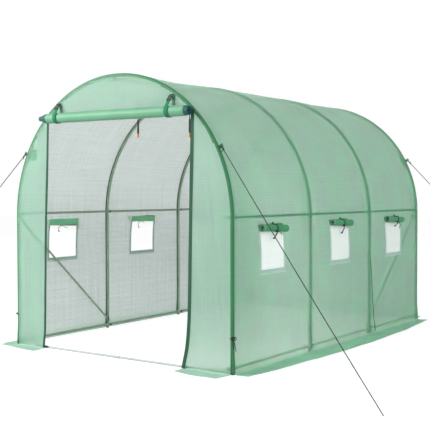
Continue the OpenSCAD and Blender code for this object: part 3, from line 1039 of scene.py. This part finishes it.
def rear_point(s, v):
    """The closed end: straight rows from hoop to hoop, then its skirt."""
    if v <= WALL_FOOT:
        spot = hoop_line(v)[0]
        x = spot.x * s
        edge = min(1.0, 8 * (1 - abs(s))) * soft_step(0.0, 0.3, spot.z)
        folds = 0.006 * ripple(x * 2.2, spot.z * 1.4, 21) + 0.0014 * ripple(x * 14.0, spot.z * 5.0, 22)
        return Vector((x, -FRONT + edge * (0.004 + folds) + end_flare(spot.z), spot.z))
    foot = Vector((HOOP_R * s, -FRONT + SKIRT_FLARE, GROUND))
    if v <= TURN_FOOT:
        return foot + Vector((0, *skirt_turn(v)))
    share = skirt_share(v)
    spot = (foot + Vector((0, FOLD, 0))).lerp(Vector((0.970 * s, 1.652, GROUND)), share)
    spot.z = hem_height(spot.x, share, 12)
    return spot


rear_columns = [-1.0, -0.993] + [k / 40 for k in range(-39, 40)] + [0.993, 1.0]
rear = net_of_threads("rear_film", rear_columns, half, rear_point)
for loop in rear.data.loops:
    spot = rear.data.vertices[loop.vertex_index].co
    rear.data.uv_layers[0].data[loop.index].uv = (spot.x, spot.z - (spot.y if spot.z < FOLD else 0))
outward(rear)
dressed(rear, "film", rear_end_film, film_back, end_skirt, seam_film_painted_shade)
thicken(rear, FILM, lambda c: Vector((0, 1, 0.4)))
finish_film(rear, at_hoop)
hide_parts("rear_end_panel", "rear_skirt")

# Windows
PATCH_STEP = 0.02
NET_LAP = 0.016
TAPE_SIDE = 0.019
TAPE_LOW = 0.030
TAPE_IN = 0.004
TAPE_HEAD = 0.014
HEM_SIDE = 0.012
HEM_LOW = 0.036
HEM_HIGH = 0.010
NET_SINK = FILM + 0.0012
HEM_SINK = FILM + 0.0030
TAPE_STAND = 0.0002


def wall_x(side, y, z):
    """The film's outer face on a wall."""
    return side * (HOOP_R + SKIN + film_push(y, side * (ARC + LEG - z)) + FILM)


def wall_patch(name, side, ys, zs, stand):
    def place(a, b):
        return Vector((wall_x(side, a, b) + side * stand, a, b))

    return net_of_threads(name, ys, zs, place)


for side, label in SIDES:
    nets, tapes, hems = [], [], []
    for bay in WINDOWS:
        left, right = bay - WIN_HALF, bay + WIN_HALF
        ys = spaced([left - NET_LAP, right + NET_LAP], PATCH_STEP)
        zs = spaced([WIN_LOW - NET_LAP, WIN_TOP + NET_LAP], PATCH_STEP)
        nets.append(wall_patch("net_part", side, ys, zs, -NET_SINK))
        ys = spaced([left - TAPE_SIDE, left + TAPE_IN, right - TAPE_IN, right + TAPE_SIDE], PATCH_STEP)
        zs = spaced([WIN_LOW - TAPE_LOW, WIN_LOW + TAPE_IN, WIN_TOP - TAPE_HEAD], PATCH_STEP)
        tape = wall_patch("tape_part", side, ys, zs, TAPE_STAND)
        cut_away(tape, lambda a, b: abs(a - bay) < WIN_HALF - TAPE_IN and b > WIN_LOW + TAPE_IN)
        tapes.append(tape)
        # a strip inside the window's head; its light green is painted light that stands for daylight through
        # the rolled flap
        ys = spaced([left - HEM_SIDE, right + HEM_SIDE], PATCH_STEP)
        zs = spaced([WIN_TOP - HEM_LOW, WIN_TOP + HEM_HIGH], PATCH_STEP / 2)
        hems.append(wall_patch("hem_part", side, ys, zs, -HEM_SINK))
    hems = made(hems, label + "_window_hem_painted_lights", "flap_film", window_hem_painted_light)
    thicken(hems, THIN, lambda c: Vector((side, 0, 0)), 0)
    nets = made(nets, label + "_window_net_sheets", "net", net, net_back)
    thicken(nets, 0.0006, lambda c: Vector((side, 0, 0)))
    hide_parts(label + "_window_nets")
    tapes = made(tapes, label + "_window_tapes", "film", tape_film)
    thicken(tapes, 0.0010, lambda c: Vector((side, 0, 0)), 0)
    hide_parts(label + "_window_frames")

# Window flaps, rolled up and tied
ROLL_R = 0.026
ROLL_Z = 0.918
ROLL_HALF = 0.158
ROLL_DROOP = 0.006
ROLL_HEM = 0.007
ROLL_GAP = 0.0012
FLAP_CORE = 0.009
FLAP_TURNS = 3.4
FLAP_TAIL = 0.052
FLAP_THICK = 0.0016
ROLL_RISES = (0.001, 0.010, 0.009)
# tie's place along the roll, then the drops of its two tails, for the three windows
TIES = (
    (0.004, ((-0.030, -0.046), (0.060, -0.026))),
    (-0.002, ((-0.022, -0.056), (0.058, -0.022))),
    (0.022, ((-0.040, -0.034), (0.050, -0.052))),
)
TIE_SLANT = 0.006
TIE_R = 0.0024
TIE_WIDE = 0.022  # length of roll that a tie draws in
PINCH = 0.18
KNOT_TURNS = 2.6


def wound(outer, core, turns, tail, steps=26):
    """Path of a wound sheet in its own plane: a tail down to the roll, then inwards turn by turn."""
    path = [(-outer, tail * (1 - k / 4)) for k in range(4)]
    count = int(turns * steps)
    for k in range(count + 1):
        turn = 2 * math.pi * k / steps
        radius = outer + (core - outer) * k / count
        path.append((-radius * math.cos(turn), -radius * math.sin(turn)))
    return path


def by_length(path):
    """The spots of a path, each under its length from the start."""
    spots = {0.0: path[0]}
    length = 0.0
    for a, b in zip(path, path[1:]):
        length += math.dist(a, b)
        spots[length] = b
    return spots


def roll_x(y):
    """The middle of a window's roll, from the tunnel's middle."""
    return wall_x(1, y, ROLL_Z) + ROLL_GAP + ROLL_R * 1.04


flap_spots = by_length(wound(ROLL_R, FLAP_CORE, FLAP_TURNS, FLAP_TAIL))
for side, label in SIDES:
    rolls = []
    for count, bay in enumerate(WINDOWS):

        def place(run, y):
            a, b = flap_spots[run]
            share = (y - bay) / ROLL_HALF
            off = (y - bay - TIES[count][0]) / TIE_WIDE
            puff = 1 - PINCH * math.exp(-off * off) + 0.035 * ripple(y * 14.0, count * 3.0 + side, 31)
            tail = b > 0.001 and run < 0.05
            if tail:
                b = b * (0.36 + 0.24 * soft_step(-0.5, 0.3, share))
                puff = 1.0
            a, b = a * puff, b * puff
            z = ROLL_Z + ROLL_RISES[count] + b - ROLL_DROOP * share + 0.002 * ripple(y * 6.0, count, 32)
            x = roll_x(y) + a
            if tail:
                x += (wall_x(1, y, z) + ROLL_GAP - x) * soft_step(0.004, 0.014, b)
            return Vector((side * x, y, z))

        start, stop = bay - ROLL_HALF, bay + ROLL_HALF
        stations = spaced([start, start + ROLL_HEM, stop - ROLL_HEM, stop], 0.010)
        rolls.append(net_of_threads("flap_part", list(flap_spots), stations, place))
    roll = made(rolls, label + "_window_flap_rolls", "flap_film", flap_film, flap_hem)
    outward(roll)
    fatten(roll, FLAP_THICK)
    for face in roll.data.polygons:
        reach = min(abs(face.center.y - bay) for bay in WINDOWS)
        if reach > ROLL_HALF - ROLL_HEM:
            face.material_index = 1
    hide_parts(label + "_window_rolls")


def tie(name, loop, tails, radius=TIE_R):
    """A cord tied round something: its loop and its loose tails."""
    parts = [cord_along(name, curve_points(loop), radius)]
    for run in tails:
        parts.append(cord_along(name, curve_points(run), radius * 0.9))
    return joined(parts, name)


def knot_at(spot, size, along=(0, 0, 1)):
    """A pulled-tight overhand knot: small turns lying over each other."""
    lead = Vector(along).normalized()
    side = lead.orthogonal().normalized()
    up = lead.cross(side)
    run = []
    for k in range(33):
        turn = 2 * math.pi * KNOT_TURNS * k / 32
        reach = size * (0.55 + 0.25 * math.sin(turn * 0.5))
        round_lead = side * reach * math.cos(turn) + up * reach * math.sin(turn)
        run.append(spot + round_lead + lead * size * 0.9 * (k / 32 - 0.5))
    return cord_along("knot_part", run, size * 0.55)


for side, label in SIDES:
    ties = []
    for bay, rise, (shift, drops) in zip(WINDOWS, ROLL_RISES, TIES):
        y = bay + shift
        roll_z = ROLL_Z + rise
        cx = roll_x(y)
        reach = ROLL_R * (1.03 - PINCH) + 0.0030
        loop = []
        for k in range(17):
            turn = math.radians(112 - 222 * k / 16)
            slant = TIE_SLANT * soft_step(-0.1, 1.0, k / 16)
            spot = (side * (cx + reach * math.cos(turn)), y + slant, roll_z + reach * math.sin(turn))
            loop.append(Vector(spot))
        top = loop[0] + Vector((side * -0.004, -0.004, 0.008))
        foot = Vector((side * (cx + reach * 0.55), y + TIE_SLANT, roll_z - reach * 0.90))
        tails = []
        for dy, dz in drops:
            steps = ((0.007, 0.50, 0.28), (0.004, 0.90, 0.60), (-0.006, 1.0, 1.0))
            tails.append([foot] + [foot + Vector((side * out, dy * p, dz * q)) for out, p, q in steps])
        ties.append(tie("tie_part", [top] + loop, tails))
        second = [spot + Vector((side * 0.002, 0.004, 0)) for spot in tails[0]]
        ties.append(cord_along("tie_part", curve_points(second), TIE_R))
        ties.append(knot_at(foot, 0.0058, (0, 1, 0)))
        ties.append(knot_at(top + Vector((0, 0, 0.003)), 0.0056))
        ties.append(knot_at(tails[0][-1], 0.0062))
    made(ties, label + "_window_ties", "cord", black_cord)

# Rolled-up door
DOOR_Y = -1.5408
DOOR_R = 0.0375
DOOR_CORE = 0.010
DOOR_TURNS = 5.2
DOOR_TAIL = 0.030
DOOR_THICK = 0.0022
DOOR_ENDS = (-0.688, 0.688)
DOOR_HEIGHTS = (1.7030, 1.6910)
DOOR_MARKS = (DOOR_ENDS[0] + 0.084, DOOR_ENDS[1] - 0.030)  # where its dark ends begin
door_spots = by_length(wound(DOOR_R, DOOR_CORE, DOOR_TURNS, DOOR_TAIL, 40))


def roll_height(x):
    return between(tuple(zip(DOOR_ENDS, DOOR_HEIGHTS)), x)


def door_point(run, x):
    a, b = door_spots[run]
    if run < 0.028:
        return Vector((x, DOOR_Y + DOOR_R - 0.0004, roll_height(x) + max(0.0, b)))
    edge = min(x - DOOR_ENDS[0], DOOR_ENDS[1] - x)
    depth, reach = (0.52, 0.082) if x < 0 else (0.16, 0.05)
    puff = (1 - depth * soft_step(reach, 0.0, edge)) * (1 + 0.022 * ripple(x * 7.0, run * 1.5, 41))
    return Vector((x, DOOR_Y - a * puff, roll_height(x) + b * puff))


xs = spaced([DOOR_ENDS[0], *DOOR_MARKS, DOOR_ENDS[1]], 0.012)
door = net_of_threads("door_film_roll", list(door_spots), xs, door_point)
outward(door)
dressed(door, "film", door_film, door_edge)
fatten(door, DOOR_THICK)
for face in door.data.polygons:
    if not DOOR_MARKS[0] <= face.center.x <= DOOR_MARKS[1]:
        face.material_index = 1
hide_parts("door_roll")

# Straps that hold the roll, with their buckles
STRAP_R = DOOR_R + 0.0035
STRAP_HALF = 0.0145
STRAP_TOP = 1.800
STRAP_THICK = 0.0018
BUCKLE_THICK = 0.0055
BUCKLE_COLUMNS = (-0.0185, -0.0145, -0.006, 0.006, 0.0145, 0.0185)
BUCKLE_ROWS = (-0.029, -0.024, -0.012, -0.0065, 0.0065, 0.012, 0.024, 0.029)


def strap_path(x):
    """Round the roll, in its own plane: down the front, under, and up behind the panel."""
    top = Vector((DOOR_Y + 0.0345, STRAP_TOP))
    hub = Vector((DOOR_Y, roll_height(x)))
    away = top - hub

    def on_roll(turn):
        return hub + STRAP_R * Vector((math.cos(turn), math.sin(turn)))

    first = math.atan2(away.y, away.x) + math.acos(STRAP_R / away.length)
    run = [top + (on_roll(first) - top) * k / 6 for k in range(6)]
    run += [on_roll(turn) for turn in evenly(first, math.radians(338), 24)]
    run.append(Vector((FRONT + 0.0014, DOOR_TOP + 0.002)))
    run += [Vector((FRONT + 0.0018, z)) for z in (DOOR_TOP + 0.03, 1.75, 1.775, STRAP_TOP)]
    return run


def buckle_frame():
    """A moulded frame with two slots and a middle bar."""
    piece = net_of_threads("buckle_part", BUCKLE_COLUMNS, BUCKLE_ROWS, lambda a, b: Vector((a, b, 0)))
    cut_away(piece, lambda a, b: abs(a) < 0.0145 and 0.012 < abs(b) < 0.024)
    modifier(piece, "SOLIDIFY", thickness=BUCKLE_THICK, offset=0.0)
    pick_faces(piece, lambda f: f.normal.z > 0.9 and abs(f.center.y) < 0.0065)
    draw_out((0, 0, 0.0022))
    bpy.ops.transform.resize(value=(0.9, 0.7, 1))
    leave_edit()
    modifier(piece, "BEVEL", width=0.0011, segments=2, limit_method="ANGLE")
    smooth(piece, 40)
    return piece


straps, buckles = [], []
for x_top, x_low, x_back in ((-0.532, -0.508, -0.514), (0.512, 0.520, 0.528)):
    run = strap_path(x_low)
    spots = by_length(run)
    whole = max(spots)

    def place(length, across):
        spot = spots[length]
        if length < whole * 0.30:
            x = x_top + (x_low - x_top) * soft_step(0, whole * 0.30, length)
        else:
            x = x_low + (x_back - x_low) * soft_step(whole * 0.55, whole, length)
        return Vector((x + across, spot.x, spot.y))

    straps.append(net_of_threads("strap_part", list(spots), evenly(-STRAP_HALF, STRAP_HALF, 6), place))
    # the buckle is laid on the strap's upper end
    buckle = buckle_frame()
    up = Vector((0, *(run[0] - run[4]))).normalized()
    side_way = Vector((1, 0, 0))
    out_way = side_way.cross(up)
    middle = Vector((x_top + 0.004, *(run[1] * 0.75 + run[2] * 0.25))) + out_way * 0.0034
    turn = Matrix((side_way, up, out_way)).transposed().to_4x4()
    buckle.data.transform(Matrix.Translation(middle) @ turn)
    buckles.append(buckle)
straps = made(straps, "door_hold_straps", "webbing", webbing)
outward(straps)
fatten(straps, STRAP_THICK, 50)
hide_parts("door_straps")
buckles = made(buckles, "strap_buckle_frames", "black_plastic", black)
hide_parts("strap_buckles")


# Zips at both jambs
def front_face(x, z):
    """The front film's outer face."""
    reach = min(1.0, 6 * (HOOP_R - abs(x)) / (HOOP_R - 0.65)) if z < DOOR_TOP else 1.0
    return FRONT - front_push(x, z) * reach - end_flare(z) - FILM


ZIP_IN = 0.004
TEETH_R = 0.0030
zips, coils = [], []
for side, jamb, wide in ((-1, JAMB_LEFT, 0.013), (1, JAMB_RIGHT, 0.021)):
    heights = spaced([0.004, DOOR_TOP - 0.002], 0.022)

    def place(off, z):
        x = between(jamb, z) + side * off
        return Vector((x, front_face(x, z) - 0.0006, z))

    zips.append(net_of_threads("zip_part", evenly(-ZIP_IN, wide, 4), heights, place))
    line = []
    for z in heights:
        x = between(jamb, z)
        line.append((x - side * 0.0035, front_face(x, z) + 0.0004, z))
    coils.append(cord_along("coil_part", line, TEETH_R))
zips = made(zips, "door_zip_tapes", "webbing", zip_tape)
thicken(zips, 0.0012, lambda c: Vector((0, -1, 0)), 0)
made(coils, "door_zip_teeth", "webbing", zip_teeth)
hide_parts("door_zips")

# Zip pulls: cord, moulded grip and a bright tip, each outline as (radius, drop from the ring before)
PULL_Y = -1.4945
PULL_LONG = 0.122
TIP_DROP = 0.0925
LEAD_R = 0.0028
GRIP = (
    (0.0030, 0),
    (0.0058, 0.003),
    (0.0064, 0.040),
    (0.0052, 0.004),
    (0.0070, 0.004),
    (0.0076, 0.022),
    (0.0070, 0.020),
)
TIP = ((0.0062, 0), (0.0072, 0.002), (0.0072, 0.020), (0.0060, 0.005), (0.0032, 0.003))


def turned(name, outline, place):
    """A small turned piece: rings drawn out one after another, hanging down from a place."""
    spot = Vector(place)
    size = outline[0][0]
    piece = ring_at(spot, UP, size, 16)
    leave_edit()
    edit(piece)
    bpy.ops.mesh.edge_face_add()
    leave_edit()
    edit(piece)
    for radius, drop in outline[1:]:
        draw_out((0, 0, -drop))
        spot.z -= drop
        bpy.ops.transform.resize(value=(radius / size,) * 3, center_override=tuple(spot))
        size = radius
    leave_edit()
    piece.name = name
    outward(piece)
    smooth(piece, 50)
    return piece


grips, tips, leads = [], [], []
for x, hook, low in ((0.215, 1.868, 1.531), (0.656, 1.668, 1.518)):
    top = low + PULL_LONG
    line = [(x, PULL_Y, z) for z in (hook, (hook + top) / 2, top - 0.004)]
    leads.append(cord_along("lead_part", line, LEAD_R))
    grips.append(turned("grip_part", GRIP, (x, PULL_Y, top)))
    tips.append(turned("tip_part", TIP, (x, PULL_Y, top - TIP_DROP)))
pulls = made(grips + leads, "zip_pull_grips", "black_plastic", black)
made(tips, "zip_pull_tips", "black_plastic", orange)
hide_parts("zip_pulls")

# Guy ropes, their tabs and patches
TAB_TURN = math.radians(27.5)
TAB_REACH = 1.0175
TAB_LONG = 0.034
TAB_HALF = 0.012
TAB_THICK = 0.0030
GUY_R = 0.0029
GUY_SAG = 0.010
PEG_X = 2.2
PEG_Y = 1.885
PATCH_LONG = 0.110
PATCH_HALF = 0.045
tabs, patches = [], []
for label, sx, sy in (
    ("front_left", -1, -1),
    ("front_right", 1, -1),
    ("rear_left", -1, 1),
    ("rear_right", 1, 1),
):

    def on_hoop(reach, turn):
        return Vector((sx * reach * math.cos(turn), sy * END, LEG + reach * math.sin(turn)))

    eye = on_hoop(TAB_REACH, TAB_TURN)
    peg = Vector((sx * PEG_X, sy * PEG_Y, GUY_R))
    pull = (peg - eye).normalized()
    flank = pull.cross(UP).normalized()
    over = flank.cross(pull)
    # the loop through the tab, its knot, the rope to the ground and the rope's spare end
    loop = []
    for turn in evenly(0.0, 2 * math.pi, 20):
        loop.append(eye + pull * (0.012 - 0.012 * math.cos(turn)) + flank * 0.0075 * math.sin(turn))
    line = []
    for t in evenly(0.0, 1.0, 30):
        line.append((eye + pull * 0.024).lerp(peg, t) - UP * GUY_SAG * 4 * t * (1 - t))
    knot = eye + pull * 0.030
    spare = [
        knot,
        eye + pull * 0.044 + flank * 0.012 + over * 0.004,
        eye + pull * 0.052 + flank * 0.024 - over * 0.004,
    ]
    parts = [
        cord_along("rope_part", loop, GUY_R * 0.9),
        knot_at(knot, 0.0058, pull),
        cord_along("rope_part", line, GUY_R, 10),
        cord_along("rope_part", curve_points(spare), GUY_R * 0.9),
    ]
    guy = made(parts, label + "_guy_rope", "cord", rope)
    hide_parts(label + "_guy")

    # webbing tab: a folded strip sewn to the film, standing out along the hoop
    def tab_point(run, across):
        reach = HOOP_R + SKIN - 0.004 + run
        return on_hoop(reach, TAB_TURN + across / reach)

    tab = net_of_threads("tab_part", evenly(0.0, TAB_LONG, 7), evenly(-TAB_HALF, TAB_HALF, 6), tab_point)
    cut_away(tab, lambda a, b: 0.0165 < a < 0.027 and abs(b) < 0.0045)
    tabs.append(tab)

    # a second layer of film sewn on where the tab pulls; the photo shows none at the front right
    def patch_point(u, v):
        return tunnel_point(sy * u, sx * v) - hoop_line(sx * v)[1] * 0.0012

    if label != "front_right":
        middle = HOOP_R * (math.pi / 2 - TAB_TURN)
        us = spaced([END - PATCH_LONG, END], 0.016)
        vs = spaced([middle - PATCH_HALF, middle + PATCH_HALF], 0.015)
        patches.append(net_of_threads("patch_part", us, vs, patch_point))
tabs = made(tabs, "guy_tab_loops", "webbing", dark_webbing)
outward(tabs)
modifier(tabs, "SOLIDIFY", thickness=TAB_THICK, offset=0.0)
modifier(tabs, "BEVEL", width=0.0006, segments=2, limit_method="ANGLE")
smooth(tabs, 45)
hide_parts("guy_tabs")
patches = made(patches, "guy_patches", "film", patch_film)
fatten(patches, THIN)

# Ties at the front corner legs, with a bow on the right
TIE_TURN = math.radians(40)
TIE_Z = 0.235
leg_ties = []
for sx in (-1, 1):
    hub = Vector((sx * HOOP_R, -END, TIE_Z))
    reach = SKIN + FILM + 0.0030
    loop = []
    for k in range(13):
        turn = math.radians(-10 + 250 * k / 12)
        ring = Vector((sx * reach * math.cos(turn), -reach * math.sin(turn), 0.004 * math.sin(turn * 2)))
        loop.append(hub + ring)
    out = Vector((sx * math.cos(TIE_TURN), -math.sin(TIE_TURN), 0))
    wide = Vector((-out.y, out.x, 0))
    foot = hub + out * reach
    bow = []
    if sx > 0:
        for way in (-1, 1):
            ear = ((0.008, 0.010, 0.010), (0.007, 0.017, -0.004), (0.006, 0.009, -0.012), (0.002, 0, 0))
            bow.append([foot] + [foot + out * a + wide * way * b + UP * c for a, b, c in ear])
            low = foot + out * 0.003 + wide * (0.010 + way * 0.008) - UP * (0.075 + 0.010 * way)
            bow.append([foot, foot + out * 0.008 + wide * way * 0.006 - UP * 0.030, low])
    leg_ties.append(tie("leg_tie_part", loop, bow, 0.0026))
    leg_ties.append(knot_at(foot + out * 0.003, 0.0062, out))
made(leg_ties, "leg_ties", "cord", black_cord)

# A pinched fold of the film beside the third leg of the right wall, dark green with painted shade in its
# crease
FOLD_TOP = 0.62
FOLD_WIDE = 0.007
FOLD_LINE = ((0.0, HOOPS[2] + 0.082), (0.35, HOOPS[2] + 0.040), (FOLD_TOP, HOOPS[2] + 0.008))


def fold_point(across, z):
    y = between(FOLD_LINE, z) + across
    rise = 0.0035 * math.cos(math.pi * across / FOLD_WIDE) * soft_step(FOLD_TOP, 0.50, z)
    return Vector((wall_x(1, y, z) + wall_flare(z) + 0.0003 + max(0.0, rise), y, z))


fold_widths = evenly(-FOLD_WIDE / 2, FOLD_WIDE / 2, 6)
crease = net_of_threads("wall_fold", fold_widths, spaced([0.012, FOLD_TOP], 0.03), fold_point)
dressed(crease, "film", seam_film_painted_shade)
thicken(crease, THIN, lambda c: Vector((1, 0, 0)), 0)

# Gusset that joins the skirts of the front left corner
GUSSET_IN = 0.016
GUSSET_LONG = 0.110


def gusset_point(turn, reach):
    share = (reach - GUSSET_IN) / GUSSET_LONG
    spot = Vector((-HOOP_R, -END, GROUND)) + reach * Vector((math.cos(turn), math.sin(turn), 0))
    spot.z += 0.0012 + 0.004 * share * share * (0.5 + 0.5 * ripple(turn * 3.0, 2.0, 71))
    return spot


turns = evenly(math.radians(176), math.radians(232), 14)
gusset = net_of_threads("corner_gusset", turns, evenly(GUSSET_IN, GUSSET_IN + GUSSET_LONG, 8), gusset_point)
dressed(gusset, "film", end_skirt, end_skirt)
thicken(gusset, THIN, lambda c: UP)


def stepped(place, axis, radius, sides, steps):
    """A plug drawn out of a ring along an axis: a length, then the ring's change of size, step by step."""
    piece = ring_at(place, axis, radius, sides)
    bpy.ops.mesh.edge_face_add()
    for step, size in steps:
        draw_out(Vector(axis) * step)
        bpy.ops.transform.resize(value=[1 if way else size for way in axis])
    leave_edit()
    outward(piece)
    smooth(piece, 40)
    return piece


# Caps on the feet of the end hoops
CAP_STEPS = ((0.003, 1.12), (0.010, 1.0), (0.026, 0.90), (0.003, 0.94))
caps = []
for sx in (-1, 1):
    for sy in (-1, 1):
        caps.append(stepped((sx * HOOP_R, sy * END, 0.0006), (0, 0, 1), 0.0150, 24, CAP_STEPS))
made(caps, "leg_foot_caps", "green_tube", dark_clip)

# Toggles that tie the doorway's lower corners to the ground bar
TOGGLE_STEPS = ((0.004, 1.25), (0.022, 1.0), (0.004, 0.8), (0.020, 0.9), (0.004, 0.7))
toggles = []
for x in (JAMB_LEFT[0][1] + 0.004, JAMB_RIGHT[0][1] - 0.004):
    way = math.copysign(1, x)
    toggles.append(stepped((x + way * 0.030, -END, BAR_Z), (-way, 0, 0), 0.0078, 16, TOGGLE_STEPS))
made(toggles, "bar_toggles", "black_plastic", dark_clip)


# Bolts and wing nuts of the frame
def barrel(name, sides, radius, depth, x):
    deselect()
    bpy.ops.mesh.primitive_cylinder_add(
        vertices=sides, radius=radius, depth=depth, location=(x, 0, 0), rotation=(0, math.pi / 2, 0)
    )
    return settle(named(name))


def wing_nut(name):
    """A bolt's end with a washer and a wing nut, pointing along +X from the origin."""
    washer = barrel("washer_part", 12, 0.0075, 0.0014, 0.0007)
    hub = barrel("hub_part", 8, 0.0048, 0.0064, 0.0046)
    for way in (-1, 1):
        pick_faces(hub, lambda f: f.normal.z * way > 0.85)
        draw_out((0.0015, 0, way * 0.0040))
        bpy.ops.transform.resize(value=(0.8, 0.5, 1))
        draw_out((0.0045, 0, way * 0.0045))
        bpy.ops.transform.resize(value=(1.2, 0.8, 1))
        leave_edit()
    modifier(hub, "BEVEL", width=0.0007, segments=2, limit_method="ANGLE")
    stem = barrel("stem_part", 10, 0.0028, 0.0120, 0.0080)
    pick_faces(stem, lambda f: f.normal.x > 0.9)
    bpy.ops.mesh.inset(thickness=0.0006)
    draw_out((0.0008, 0, 0))
    leave_edit()
    piece = joined([hub, washer, stem], name)
    smooth(piece, 35)
    return piece


NUT_SINK = 0.0004
model = wing_nut("wing_nut_model")
nuts = []


def side_nut(side, x, radius, y, z):
    """A nut on the inner side of a rail or brace."""
    shift = Matrix.Translation((side * (x - radius + NUT_SINK), y, z))
    nuts.append(copied(model, shift @ Matrix.Rotation(math.pi if side > 0 else 0.0, 4, "Z")))


for y in HOOPS:
    for side, _ in SIDES:
        side_nut(side, HIP_X, RAIL_R, y, HIP_Z)
        side_nut(side, BASE_X, BASE_R, y, BASE_Z)
    shift = Matrix.Translation((0, y, RIDGE_Z - RAIL_R + NUT_SINK))
    nuts.append(copied(model, shift @ Matrix.Rotation(math.pi / 2, 4, "Y")))
for side, _ in SIDES:
    # the right brace is the left one seen from the other end
    side_nut(side, RAIL_REACH, RAIL_R, side * (END - 0.028), BRACE_TOP - 0.0255)
    side_nut(side, RAIL_REACH, RAIL_R, side * (END / 3 + 0.030), BRACE_FOOT + 0.0273)
bpy.data.objects.remove(model)
made(nuts, "frame_wing_nuts", "green_tube", dark_clip)
